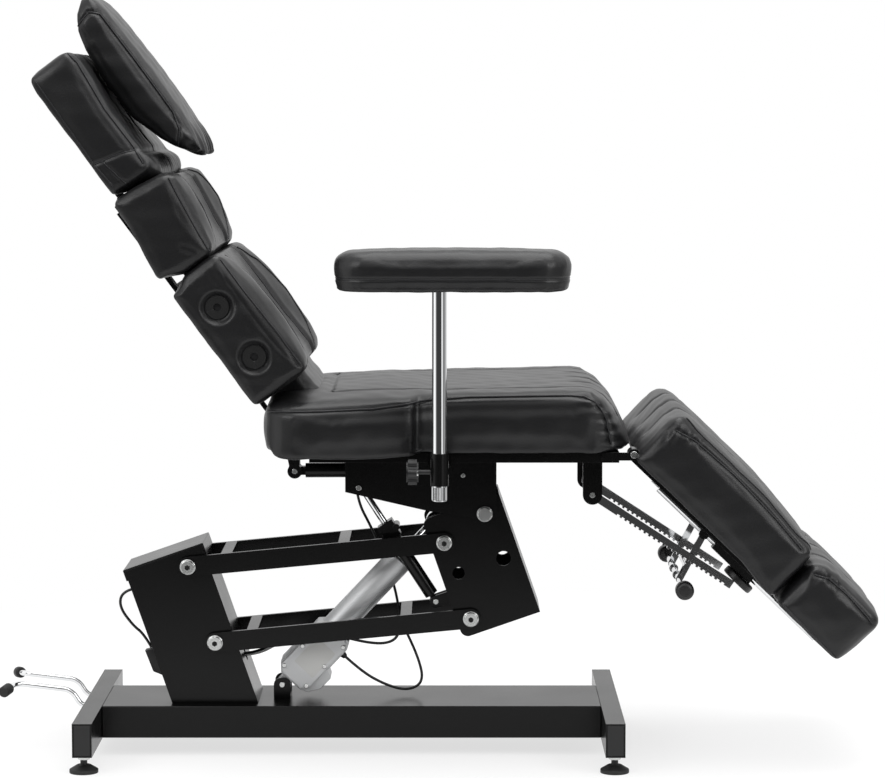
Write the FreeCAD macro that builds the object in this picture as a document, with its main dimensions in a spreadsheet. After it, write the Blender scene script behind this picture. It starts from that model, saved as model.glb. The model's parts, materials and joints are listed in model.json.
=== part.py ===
import FreeCAD, Part
import math
import os
import re
import Sketcher

# Tattoo chair: levelled base, parallelogram lift, tilting seat, reclining back, ratchet leg rest.
# X runs from the head end to the foot end, Y across the chair, Z up from the floor. Millimetres.

doc = FreeCAD.newDocument("TattooChair")
sheet = doc.addObject("Spreadsheet::Sheet", "Sizes")

sizes = {
    # base frame
    "base_top": 90, "foot_height": 59, "foot_width": 34, "foot_length": 520, "foot_wall": 3,
    "rear_foot_x": -623, "front_foot_x": 296, "beam_width": 200, "beam_height": 57, "beam_wall": 3,
    "foot_cap_depth": 6,
    # levelling feet
    "pad_radius": 25, "pad_rim": 6, "pad_height": 14, "pad_neck_radius": 12, "stud_radius": 6,
    "stud_length": 52, "pad_inset": 27, "locknut_height": 8, "locknut_radius": 10.5,
    # clearances
    "running_gap": 0.05, "free_gap": 0.5, "overrun": 5,
    # tower
    "tower_x": -407, "tower_depth": 145, "tower_width": 140, "tower_front_rise": 284,
    "lean": 19.2, "tower_wall": 4, "cover_thickness": 3, "cover_lip": 18, "cover_overhang": 3,
    "cable_hole_radius": 11, "cable_hole_rise": 76,
    "control_box_depth": 60, "control_box_width": 110, "control_box_height": 130,
    "control_box_drop": 50,
    # parallelogram links
    "lower_pivot_x": -406, "lower_pivot_z": 200, "link_length": 456, "link_angle": 5.4,
    "link_spacing": 144, "link_height": 35, "link_thickness": 8, "link_gap": 1,
    "cross_flat_width": 20, "cross_flat_thickness": 8,
    "upper_flat_first": 60, "upper_flat_second": 269, "lower_flat_first": 58, "lower_flat_second": 332,
    "pivot_bolt_radius": 8, "bolt_head_radius": 12, "bolt_head_height": 8,
    "washer_radius": 14, "washer_thickness": 2.5, "pivot_nut_height": 8,
    # lift column
    "column_depth": 145, "column_wall": 4, "column_below": 30, "column_above": 194,
    "column_inset": 25, "column_corner": 14, "column_web": 5,
    "column_hole_low_x": 6, "column_hole_low_z": 83, "column_hole_low_radius": 11,
    "column_hole_high_x": 90, "column_hole_high_z": 82, "column_hole_high_radius": 13,
    "tilt_pivot_x": 85, "tilt_pivot_z": 170,
    "lift_pin_x": -3, "lift_pin_z": 176, "lift_pin_radius": 5,
    "strut_pin_x": -50, "strut_pin_z": 45, "strut_pin_radius": 5, "strut_ear_radius": 11,
    "strut_ear_thickness": 5, "strut_ear_gap": 18, "strut_y": -38, "strut_plate": 5,
    "strut_plate_rise": 34,
    # lift actuator
    "actuator_pivot_x": -290, "actuator_pivot_z": 115, "actuator_pin_radius": 5,
    "clevis_width": 56, "clevis_wall": 6, "clevis_length": 30, "clevis_ear_radius": 12,
    "clevis_base": 4, "gear_width": 64, "gear_start": 16, "gear_end": 140, "gear_above": 31,
    "gear_below": 41, "gear_lobe": 14, "gear_lobe_start": 22, "gear_lobe_end": 76,
    "gear_chamfer": 14, "gear_tail_radius": 10, "gear_tail_width": 42,
    "gear_cover": 6, "gear_cover_inset": 3, "gear_screw_radius": 4, "gear_screw_height": 2.5,
    "motor_radius": 21, "motor_length": 28, "motor_x": 52, "motor_z": -24,
    "lift_tube_radius": 25, "lift_tube_wall": 3, "lift_tube_end": 308, "lift_tube_start": 72,
    "lift_tube_cap": 12, "lift_rod_radius": 11, "lift_rod_length": 268, "lift_eye_radius": 19,
    "lift_eye_hole": 13.5, "lift_eye_width": 26,
    # tilt strut
    "carrier_pin_x": -150, "carrier_pin_z": 478, "strut_body_radius": 12, "strut_body_start": 14,
    "strut_body_end": 168, "strut_eye_radius": 10, "strut_eye_width": 14, "strut_head_start": 136,
    "strut_head_width": 30, "strut_head_depth": 34, "strut_rod_radius": 6, "strut_rod_length": 96,
    "strut_bore_radius": 8, "strut_end_wall": 4, "strut_eye_hole": 6.2,
    # seat carrier
    "carrier_top": 542, "carrier_rear_x": -174, "carrier_front_x": 93, "carrier_rear_bottom": 470,
    "carrier_front_bottom": 419, "carrier_knee_x": -26, "carrier_knee_z": 436,
    "carrier_inner_width": 162, "carrier_wall": 4, "carrier_top_plate": 5,
    "back_pin_x": 34, "back_pin_z": 500, "back_pin_radius": 4,
    # seat frame, board and cushion
    "seat_rear_x": -303, "seat_front_x": 321, "frame_height": 18, "frame_rail_width": 30,
    "frame_rail_y": 110, "frame_front_x": 300, "frame_rear_x": -292, "frame_edge_y": 240,
    "board_thickness": 12, "board_inset": 9, "seat_half_width": 295, "seat_front_half_width": 276,
    "seat_waist_x": -40, "seat_waist_overlap": 36, "seat_corner": 62, "seat_top": 662,
    "seat_edge_round": 34, "seat_nose_round": 40, "seat_drawn_in": 8, "seat_rear_drop": 24,
    "notch_half_width": 13, "notch_depth": 62,
    # back
    "back_pivot_x": -274, "back_pivot_z": 548, "back_slope": 53.5, "torque_tube_radius": 11,
    "hinge_pin_radius": 7, "back_arm_y": 150, "back_arm_thickness": 8, "back_rail_start": 96,
    "back_rail_end": 506, "back_rail_face": 22, "back_rail_thickness": 8, "back_rail_width": 36,
    "crank_y": 15, "crank_thickness": 6, "crank_drop": 23, "crank_reach": 44,
    "crank_eye_radius": 13, "crank_pin_radius": 5,
    "hinge_lug_thickness": 8, "hinge_lug_radius": 15,
    "lumbar_low": 100, "lumbar_high": 349, "lumbar_half_width": 270, "lumbar_thickness": 119,
    "upper_low": 356, "upper_high": 522, "upper_half_width": 264, "upper_thickness": 109,
    "upper_notch_along": 15, "upper_notch_rise": 24,
    "pad_corner": 40, "pad_edge_round": 22, "pad_drawn_in": 7, "bolster_y": 152,
    "channel_radius": 26, "channel_depth": 9,
    "socket_low": 170, "socket_high": 275, "socket_rise": 44, "socket_bore": 6.5,
    "socket_radius": 10, "socket_depth": 62, "rosette_radius": 20.5, "rosette_thickness": 4,
    # back actuator
    "back_body_radius": 13, "back_body_start": 19, "back_body_end": 200, "back_bore_radius": 10,
    "back_rod_radius": 7, "back_rod_length": 190, "back_eye_radius": 17, "back_eye_hole": 14,
    "back_eye_width": 20, "back_head_width": 18,
    # head section
    "head_low": 526, "head_high": 777, "head_face": 40, "head_thickness": 86,
    "head_half_width": 247, "head_hinge_x": 523, "head_hinge_z": 31, "head_pin_radius": 4,
    "head_arm_y": 118, "head_arm_thickness": 6, "head_lug_radius": 8, "head_rail_end": 700,
    "head_rail_width": 30, "head_riser_length": 32,
    # head pillow
    "pillow_low": 504, "pillow_high": 845, "pillow_gap": 0.3, "pillow_thickness": 86,
    "pillow_half_width": 140, "pillow_corner": 55,
    # leg rest
    "leg_pivot_x": 325, "leg_pivot_z": 556, "leg_drop": 43.8, "leg_start": 9, "leg_end": 342,
    "leg_half_width": 282, "leg_channel_y": 128, "leg_under": 3, "leg_thickness": 114, "leg_rail_y": 235,
    "leg_rail_width": 30, "leg_rail_thickness": 8, "leg_rail_end": 330, "leg_eye_radius": 10,
    "leg_pin_radius": 6, "leg_lug_thickness": 6, "leg_cross_start": 50, "leg_cross_width": 36,
    "leg_lug_y": 255,
    # leg extension
    "extension_gap": 10, "extension_length": 158, "extension_under": 14, "extension_travel": 150,
    "extension_thickness": 116, "slide_rod_radius": 6, "slide_rod_y": 70, "slide_rod_start": 96,
    "slide_rod_drop": 10, "guide_start": 236, "guide_end": 328, "guide_width": 24,
    "guide_drop": 20, "clamp_knob_x": 311, "clamp_knob_radius": 30, "clamp_knob_height": 14,
    "clamp_stem_radius": 4, "clamp_knob_gap": 1,
    # ratchet racks
    "rack_pin_x": 261, "rack_pin_z": 469, "rack_y": 108, "rack_thickness": 8, "rack_height": 15,
    "rack_length": 294, "rack_angle": 33.1, "rack_tooth_pitch": 10, "rack_tooth_depth": 3,
    "rack_tooth_first": 56, "rack_tooth_count": 23, "rack_pin_radius": 5, "rack_eye_radius": 10,
    "hanger_width": 34, "hanger_thickness": 6, "hanger_gap": 1,
    # catch handle
    "catch_pivot_x": 206, "catch_pivot_z": -22, "catch_lug_radius": 9, "catch_lug_thickness": 5,
    "catch_pin_radius": 4, "catch_arm_y": 96, "catch_arm_thickness": 5, "catch_arm_width": 12,
    "catch_rod_x": 231, "catch_rod_z": -110, "catch_rod_radius": 5, "catch_rod_half": 208,
    "pawl_x": 220.5, "pawl_z": -83.5, "pawl_radius": 4.5, "pawl_half": 118,
    "catch_knob_radius": 16, "catch_knob_length": 30, "catch_ball_radius": 7, "catch_ball_y": 62,
    "catch_collar_radius": 8, "catch_collar_length": 14, "catch_collar_y": 40,
    # armrests
    "arm_post_x": -7, "arm_post_y": 340, "arm_post_radius": 12.5, "arm_post_bottom": 487,
    "arm_sleeve_radius": 15.5, "arm_sleeve_bottom": 513, "arm_sleeve_top": 568,
    "arm_bracket_height": 10, "arm_bracket_width": 40, "arm_bracket_start": 225,
    "arm_board_bottom": 842, "arm_board_thickness": 21, "arm_pad_length": 394,
    "arm_pad_width": 150, "arm_pad_offset": 22, "arm_pad_thickness": 50, "arm_pad_corner": 58,
    "arm_board_inset": 9, "arm_socket_depth": 15,
    "arm_knob_radius": 23, "arm_knob_core": 17, "arm_knob_length": 20, "arm_knob_gap": 20,
    "arm_knob_rise": 536, "arm_knob_lobe": 7, "arm_screw_radius": 4,
    # pedal
    "pedal_z": 79, "pedal_rod_radius": 5, "pedal_rod_y": 50, "pedal_shaft_radius": 7,
    "pedal_shaft_half": 68, "pedal_bearing": 12, "pedal_slot_radius": 10.5,
    "pedal_kick_x": 42, "pedal_kick_z": 31, "pedal_reach": 141, "pedal_rise": 43,
    "pedal_toe": 34, "pedal_toe_back": 11, "pedal_toe_drop": 5,
    "pedal_cap_radius": 10, "pedal_cap_length": 26,
    "pedal_switch_height": 20, "pedal_switch_width": 30, "pedal_switch_depth": 16,
    # cables
    "cable_radius": 2.5, "conduit_radius": 3, "gland_radius": 7, "gland_length": 10,
    "rear_plug_width": 18,
}

for row, (alias, value) in enumerate(sizes.items(), 1):
    sheet.set("A%d" % row, alias)
    sheet.set("B%d" % row, str(value))
    sheet.setAlias("B%d" % row, alias)
doc.recompute()

functions = {"sin", "cos", "tan", "atan", "sqrt", "pow", "deg"}
nodes = []
up = FreeCAD.Vector(0, 0, 1)
across = FreeCAD.Vector(0, 1, 0)
origin = FreeCAD.Vector(0, 0, 0)


def bound(formula):
    """The formula with each size read from the sheet."""
    word = re.compile(r"[A-Za-z_]\w*")
    return word.sub(lambda m: m.group(0) if m.group(0) in functions else "Sizes." + m.group(0), formula)


def size(formula):
    return float(sheet.evalExpression(bound(formula)))


def tie(thing, path, formula):
    thing.setExpression(path, bound(formula))


def place(thing, x="0", y="0", z="0", raised="0"):
    """Puts a piece at a point, with its X axis raised by an angle in the side view."""
    turn = FreeCAD.Rotation(FreeCAD.Vector(0, -1, 0), size(raised))
    thing.Placement = FreeCAD.Placement(FreeCAD.Vector(size(x), size(y), size(z)), turn)
    tie(thing, "Placement.Base.x", x)
    tie(thing, "Placement.Base.y", y)
    tie(thing, "Placement.Base.z", z)
    if raised != "0":
        tie(thing, "Placement.Rotation.Angle", raised)
    return thing


def node(thing, label):
    thing.Label = label
    nodes.append(thing)
    return thing


# Frames that carry the tilted assemblies: x, z and the angle that X is raised by
upper_pivot_x = "(lower_pivot_x - link_spacing * sin(lean))"
upper_pivot_z = "(lower_pivot_z + link_spacing * cos(lean))"
column_x = "(lower_pivot_x + link_length * cos(link_angle))"
column_z = "(lower_pivot_z + link_length * sin(link_angle))"


def on_column(x, z):
    """A point given in the column's own frame, as formulas for world X and Z."""
    return ("(%s + (%s) * cos(lean) - (%s) * sin(lean))" % (column_x, x, z),
            "(%s + (%s) * sin(lean) + (%s) * cos(lean))" % (column_z, x, z))


def on_back(along, rise):
    """A point given by its distance up the back and its height off the back's line."""
    return ("(back_pivot_x - (%s) * cos(back_slope) + (%s) * sin(back_slope))" % (along, rise),
            "(back_pivot_z + (%s) * sin(back_slope) + (%s) * cos(back_slope))" % (along, rise))


def on_leg(along, rise):
    return ("(leg_pivot_x + (%s) * cos(leg_drop) + (%s) * sin(leg_drop))" % (along, rise),
            "(leg_pivot_z - (%s) * sin(leg_drop) + (%s) * cos(leg_drop))" % (along, rise))


lift_pin = on_column("lift_pin_x", "lift_pin_z")
tilt_pivot = on_column("tilt_pivot_x", "tilt_pivot_z")
strut_pin = on_column("strut_pin_x", "strut_pin_z")
crank_pin = on_back("-crank_reach", "-crank_drop")


def slope_between(a, b):
    return "atan((%s - %s) / (%s - %s))" % (b[1], a[1], b[0], a[0])


actuator_angle = slope_between(("actuator_pivot_x", "actuator_pivot_z"), lift_pin)
strut_angle = "(180deg + %s)" % slope_between(strut_pin, ("carrier_pin_x", "carrier_pin_z"))
back_angle = slope_between(crank_pin, ("back_pin_x", "back_pin_z"))


def in_frame(thing, frame, y="0"):
    frames = {
        "upper_link": (upper_pivot_x, upper_pivot_z, "link_angle"),
        "lower_link": ("lower_pivot_x", "lower_pivot_z", "link_angle"),
        "column": (column_x, column_z, "lean"),
        "actuator": ("actuator_pivot_x", "actuator_pivot_z", actuator_angle),
        "strut": (strut_pin[0], strut_pin[1], strut_angle),
        "back_actuator": (crank_pin[0], crank_pin[1], back_angle),
        "back": ("back_pivot_x", "back_pivot_z", "-back_slope"),
        "leg": ("leg_pivot_x", "leg_pivot_z", "-leg_drop"),
        "rack": ("rack_pin_x", "rack_pin_z", "-rack_angle"),
    }
    x, z, raised = frames[frame]
    return place(thing, x, y, z, raised)


# Sketch helpers

def new_body(label):
    body = doc.addObject("PartDesign::Body", label)
    return body


def new_sketch(body, role):
    plane = [f for f in body.Origin.OriginFeatures if f.Role == role][0]
    sketch = body.newObject("Sketcher::SketchObject", "Outline")
    sketch.AttachmentSupport = [(plane, "")]
    sketch.MapMode = "FlatFace"
    return sketch


def hold(sketch, kind, first, second, formula):
    """A dimension from the sketch origin to a point, bound to its formula."""
    constraint = Sketcher.Constraint(kind, -1, 1, first, second, size(formula))
    index = sketch.addConstraint(constraint)
    tie(sketch, "Constraints[%d]" % index, formula)


def polygon(sketch, points):
    corners = [FreeCAD.Vector(size(x), size(z), 0) for x, z in points]
    count = len(points)
    for i in range(count):
        sketch.addGeometry(Part.LineSegment(corners[i], corners[(i + 1) % count]), False)
    for i in range(count):
        sketch.addConstraint(Sketcher.Constraint("Coincident", i, 2, (i + 1) % count, 1))
    for i, (x, z) in enumerate(points):
        hold(sketch, "DistanceX", i, 1, x)
        hold(sketch, "DistanceY", i, 1, z)


def circle(sketch, x, z, radius):
    centre = FreeCAD.Vector(size(x), size(z), 0)
    index = sketch.addGeometry(Part.Circle(centre, up, size(radius)), False)
    hold(sketch, "DistanceX", index, 3, x)
    hold(sketch, "DistanceY", index, 3, z)
    rule = sketch.addConstraint(Sketcher.Constraint("Radius", index, size(radius)))
    tie(sketch, "Constraints[%d]" % rule, radius)


def rectangle(x0, z0, x1, z1):
    return [(x0, z0), (x1, z0), (x1, z1), (x0, z1)]


def pad(body, points, width, role="XZ_Plane", holes=()):
    """Adds a plate, centred across its sketch plane."""
    sketch = new_sketch(body, role)
    polygon(sketch, points)
    for hole in holes:
        circle(sketch, *hole)
    feature = body.newObject("PartDesign::Pad", "Pad")
    feature.Profile = sketch
    feature.Midplane = True
    tie(feature, "Length", width)
    return feature


def pocket(body, points, width, role="XZ_Plane", circles=()):
    """Takes a plate away, centred across its sketch plane."""
    before = body.Shape.Volume
    sketch = new_sketch(body, role)
    if points:
        polygon(sketch, points)
    for hole in circles:
        circle(sketch, *hole)
    feature = body.newObject("PartDesign::Pocket", "Pocket")
    feature.Profile = sketch
    feature.Midplane = True
    tie(feature, "Length", width)
    doc.recompute()
    if body.Shape.Volume >= before:
        raise ValueError("a pocket of %s cuts nothing" % body.Name)
    return feature


def round_corners(body, corners, radius):
    """Fillets the edges that run across the chair through the given corners."""
    doc.recompute()
    wanted = [(size(x), size(z)) for x, z in corners]
    names = []
    base = body.Tip
    for index, edge in enumerate(base.Shape.Edges, 1):
        ends = [v.Point for v in edge.Vertexes]
        if len(ends) < 2 or abs(ends[0].y - ends[1].y) < Part.Precision.confusion() * 10:
            continue
        for x, z in wanted:
            if all(math.hypot(p.x - x, p.z - z) < 1e-3 for p in ends):
                names.append("Edge%d" % index)
    if not names:
        raise ValueError("no edge to round on %s" % body.Name)
    feature = body.newObject("PartDesign::Fillet", "Round")
    feature.Base = (base, names)
    tie(feature, "Radius", radius)
    return feature


def turned(label, steps, role="XZ_Plane"):
    """A turned piece about its own X axis: steps are (start, end, outer radius, bore radius)."""
    pieces = []
    for start, end, outer, bore in steps:
        body = new_body(label)
        sketch = new_sketch(body, role)
        polygon(sketch, rectangle(start, bore, end, outer))
        feature = body.newObject("PartDesign::Revolution", "Turned")
        feature.Profile = sketch
        feature.ReferenceAxis = (sketch, ["H_Axis"])
        feature.Angle = 360
        pieces.append(body)
    return pieces[0] if len(pieces) == 1 else fuse(label, pieces)


# Solid helpers

def box(label, x0, x1, y0, y1, z0, z1):
    piece = doc.addObject("Part::Box", label)
    tie(piece, "Length", "(%s) - (%s)" % (x1, x0))
    tie(piece, "Width", "(%s) - (%s)" % (y1, y0))
    tie(piece, "Height", "(%s) - (%s)" % (z1, z0))
    return place(piece, x0, y0, z0)


def cylinder(label, axis, radius, length, x="0", y="0", z="0"):
    """A cylinder from its start point, along +X, +Y or +Z."""
    piece = doc.addObject("Part::Cylinder", label)
    tie(piece, "Radius", radius)
    tie(piece, "Height", length)
    turns = {"x": FreeCAD.Rotation(across, 90), "y": FreeCAD.Rotation(FreeCAD.Vector(1, 0, 0), -90),
             "z": FreeCAD.Rotation()}
    piece.Placement = FreeCAD.Placement(FreeCAD.Vector(size(x), size(y), size(z)), turns[axis])
    tie(piece, "Placement.Base.x", x)
    tie(piece, "Placement.Base.y", y)
    tie(piece, "Placement.Base.z", z)
    return piece


def across_rod(label, radius, half, x="0", z="0", y="0"):
    """A cylinder along Y, centred on y."""
    return cylinder(label, "y", radius, "2 * (%s)" % half, x, "(%s) - (%s)" % (y, half), z)


def fuse(label, pieces):
    joined = doc.addObject("Part::MultiFuse", label)
    joined.Shapes = pieces
    return joined


def cut(label, base, tools):
    result = base
    for tool in tools:
        step = doc.addObject("Part::Cut", label)
        step.Base = result
        step.Tool = tool
        result = step
    return result


def group(label, pieces):
    bunch = doc.addObject("Part::Compound", label)
    bunch.Links = pieces
    return bunch


def shaped(label, shape):
    piece = doc.addObject("Part::Feature", label)
    piece.Shape = shape
    return piece


# Base

beam_bottom = "(base_top - beam_height)"
foot_bottom = "(base_top - foot_height)"


def base_beam():
    body = new_body("BaseBeam")
    start = "(rear_foot_x + foot_width / 2)"
    end = "(front_foot_x - foot_width / 2)"
    pad(body, rectangle(start, beam_bottom, end, "base_top"), "beam_width")
    doc.recompute()
    hollow = rectangle(start + " - overrun", beam_bottom + " - overrun",
                       end + " + overrun", "base_top - beam_wall")
    pocket(body, hollow, "beam_width - 2 * beam_wall")
    node(body, "base_beam")


def cross_foot(label, x, pedal):
    """A rectangular tube across the chair, with a hole in its floor for each levelling stud."""
    body = new_body("CrossFoot")
    left = "(%s - foot_width / 2)" % x
    right = "(%s + foot_width / 2)" % x
    pad(body, rectangle(left, foot_bottom, right, "base_top"), "foot_length")
    doc.recompute()
    hollow = rectangle(left + " + foot_wall", foot_bottom + " + foot_wall",
                       right + " - foot_wall", "base_top - foot_wall")
    pocket(body, hollow, "foot_length + 2 * overrun")
    tools = []
    for side in ("-", ""):
        y = "%s(foot_length / 2 - pad_inset)" % side
        tools.append(cylinder("StudHole", "z", "stud_radius + running_gap", "foot_wall + 2 * overrun",
                              x, y, foot_bottom + " - overrun"))
        if pedal:
            tools.append(cylinder("PedalHole", "x", "pedal_slot_radius", "foot_wall + 2 * overrun",
                                  left + " - overrun", side + "pedal_rod_y", "pedal_z"))
    node(cut("CrossFootBored", body, tools), label)


def foot_end_caps():
    """Plastic plugs that close both ends of each cross foot."""
    plugs = []
    for x in ("rear_foot_x", "front_foot_x"):
        for y in ("-foot_length / 2", "foot_length / 2 - foot_cap_depth"):
            plugs.append(box("EndCap", x + " - foot_width / 2 + foot_wall",
                             x + " + foot_width / 2 - foot_wall", y, y + " + foot_cap_depth",
                             foot_bottom + " + foot_wall", "base_top - foot_wall"))
    return plugs


def foot_places():
    for x, end in (("rear_foot_x", "rear"), ("front_foot_x", "front")):
        for side, hand in (("-", "right"), ("", "left")):
            yield x, "%s(foot_length / 2 - pad_inset)" % side, end + "_" + hand


def levelling_foot(x, y, name):
    """A turned pad with a sloping top on a threaded stud."""
    body = new_body("LevellingFoot")
    sketch = new_sketch(body, "XZ_Plane")
    polygon(sketch, [("0", "0"), ("pad_radius", "0"), ("pad_radius", "pad_rim"),
                     ("pad_neck_radius", "pad_height"), ("stud_radius", "pad_height"),
                     ("stud_radius", "stud_length"), ("0", "stud_length")])
    feature = body.newObject("PartDesign::Revolution", "Turned")
    feature.Profile = sketch
    feature.ReferenceAxis = (sketch, ["V_Axis"])
    feature.Angle = 360
    place(body, x, y, "0")
    node(body, "levelling_foot_" + name)


def foot_locknuts():
    nuts = []
    for x, y, name in foot_places():
        nut = doc.addObject("Part::Prism", "LockNut")
        nut.Polygon = 6
        tie(nut, "Circumradius", "locknut_radius")
        tie(nut, "Height", "locknut_height")
        place(nut, x, y, foot_bottom + " - locknut_height")
        bore = cylinder("NutBore", "z", "stud_radius + running_gap", "locknut_height + 2 * overrun",
                        x, y, foot_bottom + " - locknut_height - overrun")
        nuts.append(cut("LockNutBored", nut, [bore]))
    return nuts


# Tower

tower_half = "(tower_depth / 2 / cos(lean))"
tower_top_x = "(tower_x + %s - tower_front_rise * tan(lean))" % tower_half
tower_top_z = "(base_top + tower_front_rise)"


def tower():
    """A box of sheet steel that leans back, cut level where it stands on the beam."""
    body = new_body("Tower")
    rear_x = "(%s - tower_depth * cos(lean))" % tower_top_x
    rear_z = "(%s - tower_depth * sin(lean))" % tower_top_z
    pad(body, [("tower_x - " + tower_half, "base_top"), ("tower_x + " + tower_half, "base_top"),
               (tower_top_x, tower_top_z), (rear_x, rear_z)], "tower_width")
    doc.recompute()
    inner = "((tower_depth / 2 - tower_wall) / cos(lean))"
    over = "(overrun * tan(lean))"
    rise_front = "(tower_front_rise + overrun)"
    pocket(body, [("tower_x - %s + %s" % (inner, over), "base_top - overrun"),
                  ("tower_x + %s + %s" % (inner, over), "base_top - overrun"),
                  ("tower_x + %s - %s * tan(lean)" % (inner, rise_front), "base_top + " + rise_front),
                  ("tower_x - %s - %s * tan(lean)" % (inner, rise_front), "base_top + " + rise_front)],
           "tower_width - 2 * tower_wall")
    tools = [cylinder("CableHole", "x", "cable_hole_radius", "tower_depth / 2",
                      "tower_x", "0", "base_top + cable_hole_rise")]
    for x, z in (("lower_pivot_x", "lower_pivot_z"), (upper_pivot_x, upper_pivot_z)):
        tools.append(across_rod("TowerBore", "pivot_bolt_radius + running_gap", "tower_width / 2 + overrun", x, z))
    node(cut("TowerBored", body, tools), "tower")


def tower_cover():
    """The folded plate on top of the tower, with a lip down each end."""
    body = new_body("TowerCover")
    rear = "(-tower_depth)"
    pad(body, [(rear + " - cover_thickness", "-cover_lip"), (rear, "-cover_lip"), (rear, "0"),
               ("0", "0"), ("0", "-cover_lip"), ("cover_thickness", "-cover_lip"),
               ("cover_thickness", "cover_thickness"), (rear + " - cover_thickness", "cover_thickness")],
        "tower_width")
    doc.recompute()
    round_corners(body, [("cover_thickness", "cover_thickness"),
                         (rear + " - cover_thickness", "cover_thickness")], "cover_thickness * 2 / 3")
    node(place(body, tower_top_x, "0", tower_top_z, "lean"), "tower_cover")


def control_box():
    """The electronics housing, screwed to the inside of the tower's rear wall."""
    body = new_body("ControlBox")
    start = "(tower_wall - tower_depth)"
    pad(body, rectangle(start, "-control_box_drop - control_box_height",
                        start + " + control_box_depth", "-control_box_drop"), "control_box_width")
    doc.recompute()
    node(place(body, tower_top_x, "0", tower_top_z, "lean"), "control_box")


def pivot_bolt(x, z, side, inner, outer):
    """A shoulder bolt with its washer and nut, whose shank runs along Y from inner to outer."""
    sign = "-" if side < 0 else ""
    head = "%s + washer_thickness" % outer
    parts = [("pivot_bolt_radius", inner + " - pivot_nut_height", outer),
             ("washer_radius", outer, head),
             ("bolt_head_radius", head, head + " + bolt_head_height"),
             ("bolt_head_radius", inner + " - pivot_nut_height", inner)]
    pieces = []
    for radius, start, end in parts:
        low = end if side < 0 else start
        pieces.append(cylinder("PivotBolt", "y", radius, "(%s) - (%s)" % (end, start),
                               x, "%s(%s)" % (sign, low), z))
    return fuse("PivotBolt", pieces)


def tower_bolts():
    bolts = []
    outer = "(tower_width / 2 + 2 * link_gap + link_thickness)"
    for side in (-1, 1):
        for x, z in (("lower_pivot_x", "lower_pivot_z"), (upper_pivot_x, upper_pivot_z)):
            bolts.append(pivot_bolt(x, z, side, "(tower_width / 2 - tower_wall)", outer))
    bolts.append(across_rod("ClevisPin", "actuator_pin_radius", "clevis_width / 2 + clevis_wall / 2",
                            "actuator_pivot_x", "actuator_pivot_z"))
    node(group("BasePins", bolts), "base_pins")


# Lift links

def link_frame(label, frame, first, second):
    """Two flat bars with round ends, joined by two cross flats along their top edges."""
    inner = "(tower_width / 2 + link_gap)"
    pieces = []
    half = "(link_height / 2)"
    for side in (-1, 1):
        y = inner if side > 0 else "-%s - link_thickness" % inner
        pieces.append(box("LinkBar", "0", "link_length", y, y + " + link_thickness",
                          "-link_height / 2", half))
        for x in ("0", "link_length"):
            pieces.append(cylinder("LinkEye", "y", half, "link_thickness", x, y))
    for x in (first, second):
        pieces.append(box("CrossFlat", x, x + " + cross_flat_width", "-" + inner, inner,
                          "link_height / 2 - cross_flat_thickness", half))
    bores = []
    for x in ("0", "link_length"):
        bores.append(across_rod("LinkBore", "pivot_bolt_radius + running_gap",
                                inner + " + link_thickness + overrun", x))
    result = cut("LinkFrame", fuse("LinkFrameBlank", pieces), bores)
    node(in_frame(result, frame), label)


# Column

def column():
    """A deep folded channel, open towards the tower, with the bracket of the tilt strut."""
    body = new_body("Column")
    left = "(-column_inset)"
    right = "(column_depth - column_inset)"
    pad(body, rectangle(left, "-column_below", right, "column_above"), "tower_width")
    doc.recompute()
    pocket(body, rectangle(left + " - overrun", "-column_below - overrun", right + " - column_web",
                           "column_above + overrun"), "tower_width - 2 * column_wall")
    round_corners(body, [(left, "column_above"), (left, "-column_below")], "column_corner")
    doc.recompute()
    inside = "(tower_width / 2 - column_wall)"
    plate = box("StrutPlate", left, left + " + strut_plate", "-" + inside, inside,
                "strut_pin_z - strut_plate_rise / 2", "strut_pin_z + strut_plate_rise / 2")
    ears = []
    for side in (-1, 1):
        y = "strut_y + %d * (strut_ear_gap + strut_ear_thickness) / 2 - strut_ear_thickness / 2" % side
        ears.append(box("StrutEar", "strut_pin_x", left, y, y + " + strut_ear_thickness",
                        "strut_pin_z - strut_ear_radius", "strut_pin_z + strut_ear_radius"))
        ears.append(cylinder("StrutEarEnd", "y", "strut_ear_radius", "strut_ear_thickness",
                             "strut_pin_x", y, "strut_pin_z"))
    whole = fuse("ColumnWelded", [body, plate] + ears)
    through = "tower_width / 2 + overrun"
    bores = [across_rod("ColumnBore", "pivot_bolt_radius + running_gap", through),
             across_rod("ColumnBore", "pivot_bolt_radius + running_gap", through, "0", "link_spacing"),
             across_rod("ColumnBore", "pivot_bolt_radius + running_gap", through,
                        "tilt_pivot_x", "tilt_pivot_z"),
             across_rod("ColumnBore", "column_hole_low_radius", through,
                        "column_hole_low_x", "column_hole_low_z"),
             across_rod("ColumnBore", "column_hole_high_radius", through,
                        "column_hole_high_x", "column_hole_high_z"),
             across_rod("StrutBore", "strut_pin_radius", "strut_ear_gap", "strut_pin_x",
                        "strut_pin_z", "strut_y")]
    node(in_frame(cut("ColumnBored", whole, bores), "column"), "column")


def column_pins():
    """The four link bolts, the upper pin of the lift actuator and the lower pin of the strut."""
    bolts = []
    outer = "(tower_width / 2 + 2 * link_gap + link_thickness)"
    inside = "(tower_width / 2 - column_wall)"
    for side in (-1, 1):
        for z in ("0", "link_spacing"):
            bolts.append(pivot_bolt("0", z, side, inside, outer))
    bolts.append(across_rod("LiftPin", "lift_pin_radius", inside, "lift_pin_x", "lift_pin_z"))
    bolts.append(across_rod("StrutPin", "strut_pin_radius", "strut_ear_gap / 2 + strut_ear_thickness",
                            "strut_pin_x", "strut_pin_z", "strut_y"))
    node(in_frame(group("ColumnPins", bolts), "column"), "column_pins")


# Lift actuator

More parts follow.
